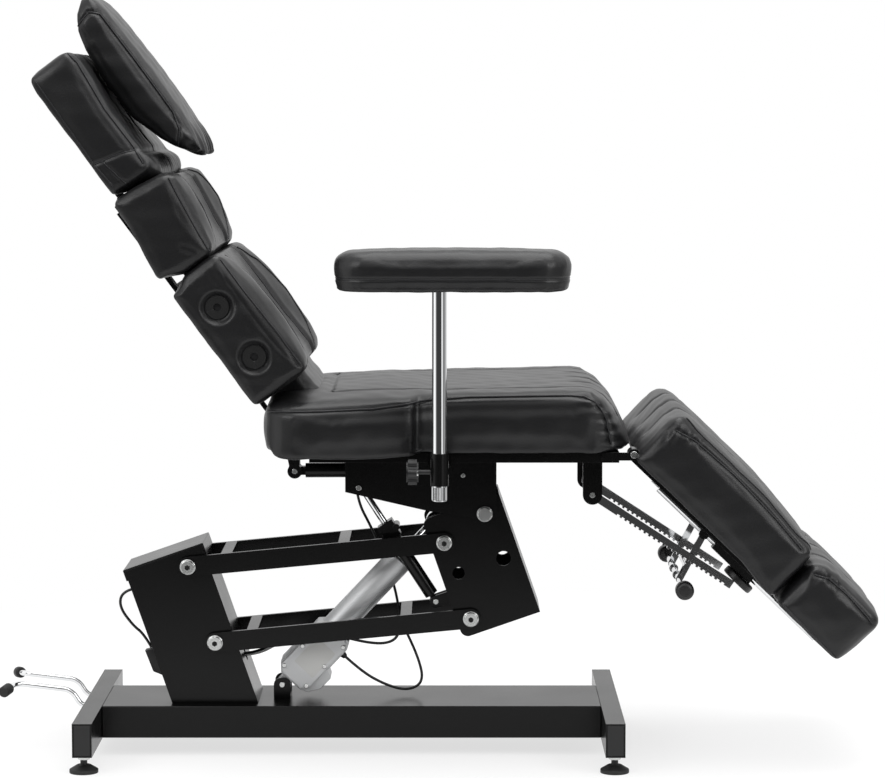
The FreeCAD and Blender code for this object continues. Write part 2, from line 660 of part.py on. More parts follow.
def actuator_clevis():
    body = new_body("ActuatorClevis")
    left = "(actuator_pivot_x - clevis_length / 2)"
    right = "(actuator_pivot_x + clevis_length / 2)"
    ear_top = "(actuator_pivot_z + clevis_ear_radius)"
    pad(body, rectangle(left, "base_top", right, ear_top), "clevis_width")
    doc.recompute()
    pocket(body, rectangle(left + " - overrun", "base_top + clevis_base", right + " + overrun",
                           ear_top + " + overrun"), "clevis_width - 2 * clevis_wall")
    round_corners(body, [(left, ear_top), (right, ear_top)], "clevis_ear_radius")
    bore = across_rod("ClevisBore", "actuator_pin_radius", "clevis_width / 2 + overrun",
                      "actuator_pivot_x", "actuator_pivot_z")
    node(cut("ClevisBored", body, [bore]), "actuator_clevis")


gear_outline = [
    ("gear_start", "-gear_below + gear_chamfer"), ("gear_lobe_start", "-gear_below"),
    ("gear_lobe_start + gear_chamfer * 3 / 2", "-gear_below - gear_lobe"),
    ("gear_lobe_end - gear_chamfer / 2", "-gear_below - gear_lobe"), ("gear_lobe_end", "-gear_below"),
    ("gear_end - gear_chamfer", "-gear_below"), ("gear_end", "-gear_below + gear_chamfer / 2"),
    ("gear_end", "gear_above - gear_chamfer"), ("gear_end - gear_chamfer", "gear_above"),
    ("gear_start + gear_chamfer", "gear_above"), ("gear_start", "gear_above - gear_chamfer"),
]


def gearbox_housing():
    """The cast housing, with the lug that hangs it in the clevis and the bore for the tube."""
    body = new_body("GearboxHousing")
    pad(body, gear_outline, "gear_width")
    doc.recompute()
    tail = across_rod("TailLug", "gear_tail_radius", "gear_tail_width / 2")
    neck = box("TailNeck", "0", "gear_start + overrun", "-gear_tail_width / 2", "gear_tail_width / 2",
               "-gear_tail_radius", "gear_tail_radius")
    bores = [across_rod("TailBore", "actuator_pin_radius + running_gap", "gear_tail_width"),
             cylinder("TubeBore", "x", "lift_tube_radius", "gear_end", "lift_tube_start")]
    whole = cut("GearboxBored", fuse("GearboxCast", [body, tail, neck]), bores)
    node(in_frame(whole, "actuator"), "gearbox_housing")


def gearbox_cover():
    """The cover plate of the gearbox and its screws, on the side that faces the viewer."""
    body = new_body("GearboxCover")
    inset = "gear_cover_inset"
    pad(body, [("gear_start + " + inset, "gear_above - gear_chamfer"),
               ("gear_start + gear_chamfer", "gear_above - " + inset),
               ("gear_end - gear_chamfer", "gear_above - " + inset),
               ("gear_end - " + inset, "gear_above - gear_chamfer"),
               ("gear_end - " + inset, "-gear_below + gear_chamfer"),
               ("gear_end - gear_chamfer", "-gear_below + " + inset),
               ("gear_start + gear_chamfer", "-gear_below + " + inset),
               ("gear_start + " + inset, "-gear_below + gear_chamfer")], "gear_cover")
    doc.recompute()
    place(body, "0", "-(gear_width + gear_cover) / 2", "0")
    screws = []
    start = "-gear_width / 2 - gear_cover - gear_screw_height"
    for x in ("gear_start + gear_chamfer", "(gear_start + gear_end) / 2", "gear_end - gear_chamfer"):
        for z in ("gear_above - gear_chamfer / 2 - gear_screw_radius / 2",
                  "-gear_below + gear_chamfer / 2 + gear_screw_radius / 2"):
            screws.append(cylinder("CoverScrew", "y", "gear_screw_radius", "gear_screw_height",
                                   x, start, z))
    node(in_frame(group("GearboxCoverSet", [body] + screws), "actuator"), "gearbox_cover")


def lift_motor():
    motor = turned("LiftMotor", [("0", "motor_length", "motor_radius", "0")])
    motor.Placement = FreeCAD.Placement(origin, FreeCAD.Rotation(up, 90))
    holder = group("LiftMotorPlaced", [motor])
    tie(motor, "Placement.Base.x", "motor_x")
    tie(motor, "Placement.Base.y", "gear_width / 2")
    tie(motor, "Placement.Base.z", "motor_z")
    node(in_frame(holder, "actuator"), "lift_motor")


def lift_tube():
    wall = "(lift_tube_radius - lift_tube_wall)"
    tube = turned("LiftTube", [
        ("lift_tube_start", "lift_tube_end", "lift_tube_radius", wall),
        ("lift_tube_end - lift_tube_cap", "lift_tube_end", wall + " + lift_tube_wall / 2",
         "lift_rod_radius + running_gap")])
    node(in_frame(tube, "actuator"), "lift_tube")


lift_span = "sqrt(pow(%s - actuator_pivot_x; 2) + pow(%s - actuator_pivot_z; 2))" % lift_pin
strut_span = "sqrt(pow(%s - carrier_pin_x; 2) + pow(%s - carrier_pin_z; 2))" % strut_pin
back_span = "sqrt(pow(%s - back_pin_x; 2) + pow(%s - back_pin_z; 2))" % crank_pin


def rod_with_eye(label, frame, span, rod, length, eye, hole, width, y="0"):
    """A chrome rod that ends in a cross eye at the far pin."""
    shaft = cylinder(label, "x", rod, "(%s) - (%s) / 2" % (length, hole),
                     "%s - (%s)" % (span, length))
    head = cylinder(label + "Head", "y", eye, width, span, "-(%s) / 2" % width)
    bore = across_rod(label + "Bore", hole, width, span)
    whole = cut(label + "Bored", fuse(label + "Blank", [shaft, head]), [bore])
    return in_frame(whole, frame, y)


def lift_rod():
    node(rod_with_eye("LiftRod", "actuator", lift_span, "lift_rod_radius", "lift_rod_length",
                      "lift_eye_radius", "lift_eye_hole", "lift_eye_width"), "lift_rod")


# Tilt strut

def tilt_strut():
    """The strut that tilts the seat: a black body with a locking head, and its rod."""
    eye = across_rod("StrutEye", "strut_eye_radius", "strut_eye_width / 2")
    barrel = turned("StrutBarrel", [("strut_body_start", "strut_body_end", "strut_body_radius", "0")])
    neck = box("StrutNeck", "0", "strut_body_start + overrun", "-strut_eye_width / 2",
               "strut_eye_width / 2", "-strut_eye_radius / 2", "strut_eye_radius / 2")
    head = box("StrutHead", "strut_head_start", "strut_body_end", "-strut_head_depth / 2",
               "strut_head_depth / 2", "-strut_head_width / 2", "strut_head_width / 2")
    bolt = across_rod("StrutHeadBolt", "strut_rod_radius", "strut_head_depth / 2 + bolt_head_height",
                      "(strut_head_start + strut_body_end) / 2", "-strut_head_width / 2")
    bores = [across_rod("StrutEyeBore", "strut_pin_radius + running_gap", "strut_eye_width"),
             cylinder("StrutBore", "x", "strut_bore_radius",
                      "strut_body_end - strut_body_start - 2 * strut_end_wall",
                      "strut_body_start + strut_end_wall"),
             cylinder("StrutMouth", "x", "strut_rod_radius + running_gap",
                      "strut_end_wall + 2 * overrun", "strut_body_end - strut_end_wall - overrun")]
    whole = cut("StrutBored", fuse("StrutBlank", [eye, neck, barrel, head, bolt]), bores)
    node(in_frame(whole, "strut", "strut_y"), "tilt_cylinder")
    rod = rod_with_eye("StrutRod", "strut", strut_span, "strut_rod_radius", "strut_rod_length",
                       "strut_eye_radius", "strut_eye_hole", "strut_eye_width", "strut_y")
    node(rod, "tilt_rod")


# Seat carrier and frame

def seat_carrier():
    """The yoke under the seat: a top plate with two deep cheeks outside the column."""
    body = new_body("SeatCarrier")
    pad(body, [("carrier_rear_x", "carrier_rear_bottom"), ("carrier_knee_x", "carrier_knee_z"),
               ("carrier_front_x", "carrier_front_bottom"), ("carrier_front_x", "carrier_top"),
               ("carrier_rear_x", "carrier_top")], "carrier_inner_width + 2 * carrier_wall")
    doc.recompute()
    pocket(body, rectangle("carrier_rear_x - overrun", "carrier_front_bottom - overrun",
                           "carrier_front_x + overrun", "carrier_top - carrier_top_plate"),
           "carrier_inner_width")
    round_corners(body, [("carrier_front_x", "carrier_front_bottom")], "column_corner")
    through = "carrier_inner_width / 2 + carrier_wall + overrun"
    bores = [across_rod("CarrierBore", "pivot_bolt_radius + running_gap", through, *tilt_pivot),
             across_rod("CarrierBore", "strut_pin_radius", through, "carrier_pin_x", "carrier_pin_z"),
             across_rod("CarrierBore", "back_pin_radius", through, "back_pin_x", "back_pin_z")]
    node(cut("CarrierBored", body, bores), "seat_carrier")


def carrier_pins():
    outer = "(carrier_inner_width / 2 + carrier_wall)"
    pieces = []
    for side in (-1, 1):
        pieces.append(pivot_bolt(tilt_pivot[0], tilt_pivot[1], side,
                                 "(tower_width / 2 - column_wall - free_gap)", outer))
    pieces.append(across_rod("CarrierStrutPin", "strut_pin_radius", outer + " + washer_thickness",
                             "carrier_pin_x", "carrier_pin_z"))
    pieces.append(across_rod("CarrierBackPin", "back_pin_radius", outer + " + washer_thickness",
                             "back_pin_x", "back_pin_z"))
    return pieces


frame_top = "(carrier_top + frame_height)"
board_top = "(carrier_top + frame_height + board_thickness)"


def seat_frame():
    """The welded frame under the seat, with the lugs of the back hinge and the leg hinge."""
    rails = []
    for side in ("-", ""):
        y = "%sframe_rail_y - frame_rail_width / 2" % side
        rails.append(box("LongRail", "frame_rear_x + notch_depth", "frame_front_x", y,
                         y + " + frame_rail_width",
                         "carrier_top", frame_top))
        outer = "%s(frame_edge_y) - frame_rail_width / 2" % side
        rails.append(box("EdgeRail", "frame_rear_x + notch_depth", "frame_front_x", outer,
                         outer + " + frame_rail_width", "carrier_top", frame_top))
        inner = "(back_arm_y + back_arm_thickness / 2 + free_gap)"
        low = "-%s - hinge_lug_thickness" % inner if side else inner
        rails.append(box("BackLug", "back_pivot_x", "frame_rear_x + notch_depth", low,
                         low + " + hinge_lug_thickness", "carrier_top", frame_top))
        rails.append(cylinder("BackLugEnd", "y", "frame_height / 2 + running_gap",
                              "hinge_lug_thickness", "back_pivot_x", low,
                              "carrier_top + frame_height / 2"))
        hinge = "%s(leg_lug_y) - leg_lug_thickness / 2" % side
        rails.append(box("LegLug", "frame_front_x - frame_rail_width", "leg_pivot_x", hinge,
                         hinge + " + leg_lug_thickness", "leg_pivot_z - leg_eye_radius",
                         "leg_pivot_z + leg_eye_radius / 3"))
        rails.append(cylinder("LegLugEnd", "y", "leg_eye_radius", "leg_lug_thickness",
                              "leg_pivot_x", hinge, "leg_pivot_z"))
    for x in ("frame_rear_x + notch_depth", "arm_post_x - frame_rail_width / 2",
              "frame_front_x - frame_rail_width"):
        rails.append(box("CrossRail", x, x + " + frame_rail_width", "-(leg_lug_y)", "leg_lug_y",
                         "carrier_top", frame_top))
    tools = [across_rod("BackPinBore", "hinge_pin_radius", "back_arm_y + frame_rail_width",
                        "back_pivot_x", "back_pivot_z"),
             across_rod("LegPinBore", "leg_pin_radius", "leg_lug_y + frame_rail_width",
                        "leg_pivot_x", "leg_pivot_z")]
    frame = cut("SeatFrame", fuse("SeatFrameWelded", rails), tools)
    node(frame, "seat_frame")
    node(group("SeatBrackets", rack_hangers() + arm_brackets()), "seat_brackets")


def hinge_pins():
    """The hinge pins of the back and of the leg rest, which stay in the seat frame."""
    pins = []
    for side in (-1, 1):
        back = "(%d * back_arm_y)" % side
        pins.append(across_rod("BackHingePin", "hinge_pin_radius",
                               "back_arm_thickness / 2 + free_gap + hinge_lug_thickness",
                               "back_pivot_x", "back_pivot_z", back))
        low = "leg_rail_y - leg_rail_width / 2"
        length = "leg_lug_y + leg_lug_thickness - (%s)" % low
        start = low if side > 0 else "-(%s) - (%s)" % (low, length)
        pins.append(cylinder("LegHingePin", "y", "leg_pin_radius", length,
                             "leg_pivot_x", start, "leg_pivot_z"))
    pins.append(across_rod("RackPin", "rack_pin_radius",
                           "rack_y + rack_thickness / 2 + hanger_gap + hanger_thickness",
                           "rack_pin_x", "rack_pin_z"))
    return pins


def seat_board():
    body = new_body("SeatBoard")
    half = "(seat_front_half_width - board_inset)"
    pad(body, rectangle("seat_rear_x + board_inset", "-" + half, "frame_front_x - overrun", half),
        "board_thickness", "XY_Plane")
    doc.recompute()
    place(body, "0", "0", "(carrier_top + frame_height + board_thickness / 2)")
    node(cut("SeatBoardNotched", body, back_notches()), "seat_board")


def back_notches():
    """Room at the rear of the seat for the arms that carry the back."""
    tools = []
    for side in ("-", ""):
        y = "%s(back_arm_y) - notch_half_width" % side
        tools.append(box("BackNotch", "seat_rear_x - overrun", "seat_rear_x + notch_depth", y,
                         y + " + 2 * notch_half_width", "carrier_top", "seat_top + overrun"))
    return tools


# Cushions

def rounded_outline(x0, x1, half, corner, z):
    """A rectangle with round corners, as one wire at a height."""
    c = min(corner, half - sizes["overrun"], (x1 - x0) / 2 - sizes["overrun"])
    edges = []
    corners = [(x0 + c, -half + c, 180), (x1 - c, -half + c, 270), (x1 - c, half - c, 0), (x0 + c, half - c, 90)]
    arcs = []
    for x, y, start in corners:
        points = []
        for angle in (start, start + 45, start + 90):
            radians = math.radians(angle)
            points.append(FreeCAD.Vector(x + c * math.cos(radians), y + c * math.sin(radians), z))
        arcs.append(Part.Arc(*points))
    for i, arc in enumerate(arcs):
        edges.append(arc.toShape())
        following = arcs[(i + 1) % len(arcs)]
        edges.append(Part.LineSegment(arc.EndPoint, following.StartPoint).toShape())
    return Part.Wire(edges)


def cushion(x0, x1, half, corner, bottom, top, edge, drawn):
    """A pad whose sides draw in under its seam and whose top is crowned."""
    thickness = top - bottom
    level_shares = [(0, drawn), (0.42, 0), (0.72, drawn / 4), (0.9, edge / 3), (1, edge)]
    wires = []
    for share, inset in level_shares:
        wires.append(rounded_outline(x0 + inset, x1 - inset, half - inset, corner,
                                     bottom + thickness * share))
    return Part.makeLoft(wires, True, False)


def channel(x0, x1, y, top):
    """The tool that presses a sewn channel into the top of a pad, along X."""
    radius = size("channel_radius")
    start = FreeCAD.Vector(x0, y, top + radius - size("channel_depth"))
    return Part.makeCylinder(radius, x1 - x0, start, FreeCAD.Vector(1, 0, 0))


def formed(label, shape, frame=None):
    piece = shaped(label, shape)
    if frame:
        in_frame(piece, frame)
    node(piece, label)
    return piece


def seat_cushion():
    """A wide rear lobe and a narrower front with a rolled nose, parted by a waist."""
    bottom = size(board_top)
    waist = size("seat_waist_x")
    overlap = size("seat_waist_overlap")
    rear = cushion(size("seat_rear_x"), waist, size("seat_half_width"), size("seat_corner"), bottom,
                   size("seat_top - seat_rear_drop / 2"), size("seat_edge_round"), size("seat_drawn_in"))
    front = cushion(waist - overlap, size("seat_front_x"), size("seat_front_half_width"),
                    size("seat_corner"), bottom, size("seat_top"), size("seat_nose_round"),
                    size("seat_drawn_in"))
    whole = rear.fuse(front)
    for side in (-1, 1):
        whole = whole.cut(channel(waist, size("seat_front_x - seat_nose_round"),
                                  side * size("bolster_y"), size("seat_top")))
    for notch in back_notch_solids():
        whole = whole.cut(notch)
    formed("seat_cushion", whole)


def back_notch_solids():
    solids = []
    for side in (-1, 1):
        half = size("notch_half_width")
        corner = FreeCAD.Vector(size("seat_rear_x - overrun"), side * size("back_arm_y") - half,
                                size("carrier_top"))
        solids.append(Part.makeBox(size("notch_depth + overrun"), 2 * half,
                                   size("seat_top + overrun - carrier_top"), corner))
    return solids


def back_pad(label, low, high, half, face, thickness, channels):
    """One padded block of the back, on its board."""
    board = size("board_thickness")
    bottom = size(face) + board
    shape = cushion(-size(high), -size(low), size(half), size("pad_corner"), bottom,
                    size(face) + size(thickness), size("pad_edge_round"), size("pad_drawn_in"))
    for y in channels:
        shape = shape.cut(channel(-size(high), -size(low), y, size(face) + size(thickness)))
    return shape


def lumbar_cushion():
    y = size("bolster_y")
    shape = back_pad("lumbar_cushion", "lumbar_low", "lumbar_high", "lumbar_half_width",
                     "back_rail_face", "lumbar_thickness", (-y, 0, y))
    for along in ("socket_low", "socket_high"):
        for side in (-1, 1):
            half = size("lumbar_half_width")
            outside = half + size("overrun")
            start = FreeCAD.Vector(-size(along), side * outside,
                                   size("back_rail_face") + size("socket_rise"))
            inward = FreeCAD.Vector(0, -side, 0)
            hole = Part.makeCylinder(size("socket_radius"), size("pad_drawn_in / 2 + socket_depth + overrun"),
                                     start, inward)
            seat = Part.makeCylinder(size("rosette_radius"),
                                     size("pad_drawn_in / 2 + rosette_thickness + overrun"), start, inward)
            shape = shape.cut(hole.fuse(seat))
    formed("lumbar_cushion", shape, "back")


def upper_back_cushion():
    y = size("bolster_y")
    shape = back_pad("upper_back_cushion", "upper_low", "upper_high", "upper_half_width",
                     "back_rail_face", "upper_thickness", (-y, y))
    formed("upper_back_cushion", shape.cut(hinge_chamfer()), "back")


def hinge_chamfer():
    """The slanted corner behind the top of the upper block, which clears the head hinge."""
    bottom = size("back_rail_face + board_thickness")
    high = -size("upper_high")
    over = size("overrun")
    half = size("upper_half_width") + over
    corners = [(high + size("upper_notch_along"), bottom), (high, bottom + size("upper_notch_rise")),
               (high - over, bottom + size("upper_notch_rise")), (high - over, bottom - over),
               (high + size("upper_notch_along"), bottom - over)]
    points = [FreeCAD.Vector(x, -half, z) for x, z in corners]
    face = Part.Face(Part.makePolygon(points + points[:1]))
    return face.extrude(FreeCAD.Vector(0, 2 * half, 0))


def head_cushion():
    shape = back_pad("head_cushion", "head_low", "head_high", "head_half_width",
                     "head_face", "head_thickness", (0,))
    formed("head_cushion", shape, "back")


def head_pillow():
    """The puffed pillow that lies on the head block."""
    bottom = size("head_face + head_thickness + pillow_gap")
    top = bottom + size("pillow_thickness")
    low = -size("pillow_high")
    high = -size("pillow_low")
    half = size("pillow_half_width")
    level_shares = [(0, 0.3), (0.25, 0.1), (0.62, 0), (0.88, 0.07), (1, 0.22)]
    side_share = 0.8
    wires = []
    for share, inset_share in level_shares:
        inset = inset_share * half
        wires.append(rounded_outline(low + inset, high - inset, half - inset * side_share,
                                     size("pillow_corner"), bottom + (top - bottom) * share))
    formed("head_pillow", Part.makeLoft(wires, True, False), "back")


def leg_cushion():
    """The calf pad with three sewn channels along its length."""
    bottom = size("board_thickness - leg_under")
    top = size("leg_thickness - leg_under")
    shape = cushion(size("leg_start"), size("leg_end"), size("leg_half_width"), size("pad_corner"),
                    bottom, top, size("pad_edge_round"), size("pad_drawn_in"))
    for y in (-size("leg_channel_y"), 0, size("leg_channel_y")):
        shape = shape.cut(channel(size("leg_start"), size("leg_end"), y, top))
    formed("leg_cushion", shape, "leg")


extension_start = "(leg_end + extension_gap)"
extension_end = "(leg_end + extension_gap + extension_length)"


def extension_cushion():
    bottom = size("board_thickness - extension_under")
    top = size("extension_thickness - extension_under")
    shape = cushion(size(extension_start), size(extension_end), size("leg_half_width"),
                    size("seat_corner"), bottom, top, size("seat_edge_round"), size("pad_drawn_in"))
    for y in (-size("leg_channel_y"), 0, size("leg_channel_y")):
        shape = shape.cut(channel(size(extension_start), size(extension_end), y, top))
    formed("extension_cushion", shape, "leg")


def pad_board(label, frame, x0, x1, half, z0):
    """The plywood board that carries a pad."""
    body = new_body(label)
    pad(body, rectangle(x0 + " + board_inset", "-(%s) + board_inset" % half,
                        x1 + " - board_inset", "%s - board_inset" % half),
        "board_thickness", "XY_Plane")
    doc.recompute()
    x, z = on_back("0", z0 + " + board_thickness / 2") if frame == "back" else on_leg(
        "0", z0 + " + board_thickness / 2")
    raised = "-back_slope" if frame == "back" else "-leg_drop"
    return place(body, x, "0", z, raised)


# Back

def back_frame():
    """Two arms that rise through the seat's notches, the rails behind the pads and the crank."""
    pieces = []
    face = "back_rail_face"
    behind = "(back_rail_face - back_rail_thickness)"
    for side in ("-", ""):
        body = new_body("BackArm")
        pad(body, [("0", "-torque_tube_radius"),
                   ("0", "torque_tube_radius"),
                   ("-back_rail_start * 2 / 5", face), ("-back_rail_start - back_rail_width", face),
                   ("-back_rail_start - back_rail_width", behind),
                   ("-back_rail_start / 2", behind)], "back_arm_thickness")
        doc.recompute()
        place(body, "0", side + "back_arm_y", "0")
        pieces.append(body)
        pieces.append(cylinder("ArmEye", "y", "torque_tube_radius + free_gap", "back_arm_thickness",
                               "0", side + "back_arm_y - back_arm_thickness / 2"))
        y = "%s(back_arm_y) - back_rail_width / 2" % side
        pieces.append(box("BackRail", "-back_rail_end", "-back_rail_start - back_rail_width / 2", y,
                          y + " + back_rail_width", behind, face))
        crank = new_body("Crank")
        pad(crank, [("-torque_tube_radius", "0"), ("torque_tube_radius", "torque_tube_radius"),
                    ("crank_reach + crank_eye_radius / 2", "-crank_drop + crank_eye_radius / 2"),
                    ("crank_reach", "-crank_drop - crank_eye_radius * 2 / 3"),
                    ("0", "-torque_tube_radius")], "crank_thickness")
        doc.recompute()
        place(crank, "0", side + "crank_y", "0")
        pieces.append(crank)
        pieces.append(cylinder("CrankEye", "y", "crank_eye_radius", "crank_thickness", "crank_reach",
                               side + "crank_y - crank_thickness / 2", "-crank_drop"))
        for start in ("back_rail_start + back_rail_width", "lumbar_high - back_rail_width",
                      "back_rail_end - back_rail_width"):
            if side:
                pieces.append(box("BackCross", "-(%s) - back_rail_width" % start, "-(%s)" % start,
                                  "-back_arm_y", "back_arm_y", behind, face))
        lug = "%s(head_arm_y + head_arm_thickness)" % side
        plate = new_body("HeadLug")
        face_low = "(back_rail_face - free_gap)"
        neck = "-(upper_high - board_inset) - 2 * free_gap"
        knuckle = "(head_lug_radius - free_gap)"
        pad(plate, [("-back_rail_end + back_rail_width", behind),
                    ("-back_rail_end + back_rail_width", face_low), (neck, face_low),
                    ("-head_hinge_x + " + knuckle, "head_hinge_z"),
                    ("-head_hinge_x - " + knuckle, "head_hinge_z"),
                    ("-head_hinge_x + head_lug_radius / 2", behind)], "head_arm_thickness")
        doc.recompute()
        place(plate, "0", lug, "0")
        pieces.append(plate)
        pieces.append(cylinder("HeadLugEnd", "y", knuckle, "head_arm_thickness", "-head_hinge_x",
                               lug + " - head_arm_thickness / 2", "head_hinge_z"))
    tube = across_rod("TorqueTube", "torque_tube_radius", "back_arm_y")
    tools = [across_rod("HingeBore", "hinge_pin_radius + running_gap",
                        "back_arm_y + back_arm_thickness"),
             across_rod("HeadBore", "head_pin_radius", "head_arm_y + 2 * head_arm_thickness",
                        "-head_hinge_x", "head_hinge_z"),
             across_rod("CrankBore", "crank_pin_radius", "crank_y + crank_thickness",
                        "crank_reach", "-crank_drop")]
    whole = cut("BackFrame", fuse("BackFrameWelded", pieces + [tube]), tools)
    node(in_frame(whole, "back"), "back_frame")
    node(in_frame(group("BackPins", back_pins()), "back"), "back_pins")


def back_pins():
    """The crank pin of the back actuator and the pins of the head hinge."""
    pins = [across_rod("CrankPin", "crank_pin_radius", "crank_y + crank_thickness / 2",
                       "crank_reach", "-crank_drop")]
    for side in (-1, 1):
        pins.append(across_rod("HeadPin", "head_pin_radius", "head_arm_thickness",
                               "-head_hinge_x", "head_hinge_z",
                               "%d * (head_arm_y + head_arm_thickness / 2)" % side))
    return pins


def back_boards():
    boards = [pad_board("LumbarBoard", "back", "-lumbar_high", "-lumbar_low", "lumbar_half_width",
                        "back_rail_face"),
              pad_board("UpperBoard", "back", "-upper_high", "-upper_low", "upper_half_width",
                        "back_rail_face")]
    node(group("BackBoards", boards), "back_boards")


def accessory_sockets():
    """Steel tubes with rosettes, let into both sides of the lumbar block."""
    pieces = []
    for along in ("socket_low", "socket_high"):
        for side in (-1, 1):
            face = "(lumbar_half_width - pad_drawn_in / 2)"
            inner = "(%s - socket_depth)" % face
            start = inner if side > 0 else "-" + face
            rosette = face + " - rosette_thickness" if side > 0 else "-" + face
            height = "back_rail_face + socket_rise"
            tube = cylinder("SocketTube", "y", "socket_radius", "socket_depth",
                            "-" + along, start, height)
            flange = cylinder("SocketRosette", "y", "rosette_radius", "rosette_thickness",
                              "-" + along, rosette, height)
            bore = cylinder("SocketBore", "y", "socket_bore", "socket_depth - rosette_thickness + overrun",
                            "-" + along,
                            (inner + " + rosette_thickness") if side > 0 else "-%s - overrun" % face,
                            height)
            pieces.append(cut("Socket", fuse("SocketBlank", [tube, flange]), [bore]))
    node(in_frame(group("Sockets", pieces), "back"), "accessory_sockets")


def back_actuator():
    eye = across_rod("BackEye", "crank_eye_radius - free_gap", "crank_y - crank_thickness / 2 - free_gap")
    barrel = turned("BackBarrel", [("back_body_start", "back_body_end", "back_body_radius", "0")])
    neck = box("BackNeck", "0", "back_body_start + overrun", "-back_head_width / 2",
               "back_head_width / 2", "-crank_pin_radius * 3 / 2", "crank_pin_radius * 3 / 2")
    bores = [across_rod("BackEyeBore", "crank_pin_radius + running_gap", "crank_y"),
             cylinder("BackBore", "x", "back_bore_radius",
                      "back_body_end - back_body_start - 2 * strut_end_wall",
                      "back_body_start + strut_end_wall"),
             cylinder("BackMouth", "x", "back_rod_radius + running_gap",
                      "strut_end_wall + 2 * overrun", "back_body_end - strut_end_wall - overrun")]
    whole = cut("BackCylinder", fuse("BackCylinderBlank", [eye, neck, barrel]), bores)
    node(in_frame(whole, "back_actuator"), "back_cylinder")
    node(rod_with_eye("BackRod", "back_actuator", back_span, "back_rod_radius", "back_rod_length",
                      "back_eye_radius", "back_eye_hole", "back_eye_width"), "back_rod")


# Head section

def head_frame():
    """Two hinged bars behind the head board."""
    pieces = []
    low = "(head_face - head_arm_thickness)"
    for side in ("-", ""):
        y = "%s(head_arm_y) - head_arm_thickness / 2" % side
        pieces.append(cylinder("HeadEye", "y", "head_lug_radius", "head_arm_thickness - free_gap",
                               "-head_hinge_x", y + " + free_gap / 2", "head_hinge_z"))
        pieces.append(box("HeadRiser", "-head_hinge_x - head_riser_length", "-head_hinge_x",
                          y + " + free_gap / 2", y + " + head_arm_thickness - free_gap / 2",
                          "head_hinge_z - head_lug_radius / 2", "head_face"))
        rail = "%s(head_arm_y) - head_rail_width / 2" % side
        pieces.append(box("HeadRail", "-head_rail_end", "-head_low - overrun", rail,
                          rail + " + head_rail_width", low, "head_face"))
    pieces.append(box("HeadCross", "-head_rail_end", "-head_rail_end + head_rail_width",
                      "-head_arm_y", "head_arm_y", low, "head_face"))
    bore = across_rod("HeadPinBore", "head_pin_radius + running_gap",
                      "head_arm_y + head_arm_thickness", "-head_hinge_x", "head_hinge_z")
    whole = cut("HeadFrame", fuse("HeadFrameWelded", pieces), [bore])
    in_frame(whole, "back")
    board = pad_board("HeadBoard", "back", "-head_high", "-head_low", "head_half_width", "head_face")
    node(group("HeadFrameSet", [whole, board]), "head_frame")


# Leg rest

leg_top = "(-leg_under)"


def leg_frame():
    """Two hinged rails under the calf board, a cross flat and the lugs of the catch."""
    pieces = []
    low = "(-leg_under - leg_rail_thickness)"
    for side in ("-", ""):
        y = "%s(leg_rail_y) - leg_rail_width / 2" % side
        pieces.append(box("LegRail", "0", "leg_rail_end", y, y + " + leg_rail_width", low, leg_top))
        pieces.append(cylinder("LegEye", "y", "leg_eye_radius", "leg_rail_width", "0", y))
        lug = "%s(catch_arm_y + catch_arm_thickness / 2 + catch_lug_thickness / 2) - catch_lug_thickness / 2" % side
        if side:
            lug = "-(catch_arm_y + catch_arm_thickness / 2 + free_gap) - catch_lug_thickness"
        else:
            lug = "catch_arm_y + catch_arm_thickness / 2 + free_gap"
        pieces.append(box("CatchLug", "catch_pivot_x - catch_lug_radius",
                          "catch_pivot_x + catch_lug_radius", lug, lug + " + catch_lug_thickness",
                          "catch_pivot_z", leg_top))
        pieces.append(cylinder("CatchLugEnd", "y", "catch_lug_radius", "catch_lug_thickness",
                               "catch_pivot_x", lug, "catch_pivot_z"))
    for x in ("leg_cross_start", "catch_pivot_x - leg_cross_width / 2"):
        pieces.append(box("LegCross", x, x + " + leg_cross_width", "-leg_rail_y", "leg_rail_y",
                          "-leg_under - leg_rail_thickness / 2", leg_top))
    tools = [across_rod("LegBore", "leg_pin_radius + running_gap", "leg_rail_y + leg_rail_width"),
             across_rod("CatchBore", "catch_pin_radius", "catch_arm_y + catch_arm_width",
                        "catch_pivot_x", "catch_pivot_z")]
    whole = cut("LegFrame", fuse("LegFrameWelded", pieces), tools)
    node(in_frame(whole, "leg"), "leg_frame")
    node(in_frame(group("SlideGuides", slide_guides()), "leg"), "slide_guides")
    node(pad_board("LegBoard", "leg", "leg_start", "leg_end", "leg_half_width", leg_top),
         "leg_board")


slide_rod_z = "(-leg_under - leg_rail_thickness - slide_rod_drop)"


def slide_guides():
    """The two guide blocks under the calf board, and the catch pins."""
    pieces = []
    for side in ("-", ""):
        y = "%s(slide_rod_y) - guide_width / 2" % side
        block = box("Guide", "guide_start", "guide_end", y, y + " + guide_width",
                    slide_rod_z + " - guide_drop / 2", leg_top)
        bore = cylinder("GuideBore", "x", "slide_rod_radius + running_gap",
                        "guide_end - guide_start + 2 * overrun", "guide_start - overrun",
                        side + "slide_rod_y", slide_rod_z)
        tools = [bore]
        if side:
            tools.append(cylinder("StemBore", "z", "clamp_stem_radius + running_gap", "guide_drop",
                                  "clamp_knob_x", "-slide_rod_y",
                                  slide_rod_z + " - guide_drop / 2 - overrun"))
        pieces.append(cut("GuideBored", block, tools))
        inner = "(catch_arm_y - catch_arm_thickness / 2)"
        length = "(catch_arm_thickness + free_gap + catch_lug_thickness)"
        start = inner if not side else "-%s - %s" % (inner, length)
        pieces.append(cylinder("CatchPin", "y", "catch_pin_radius", length, "catch_pivot_x",
                               start, "catch_pivot_z"))
    return pieces


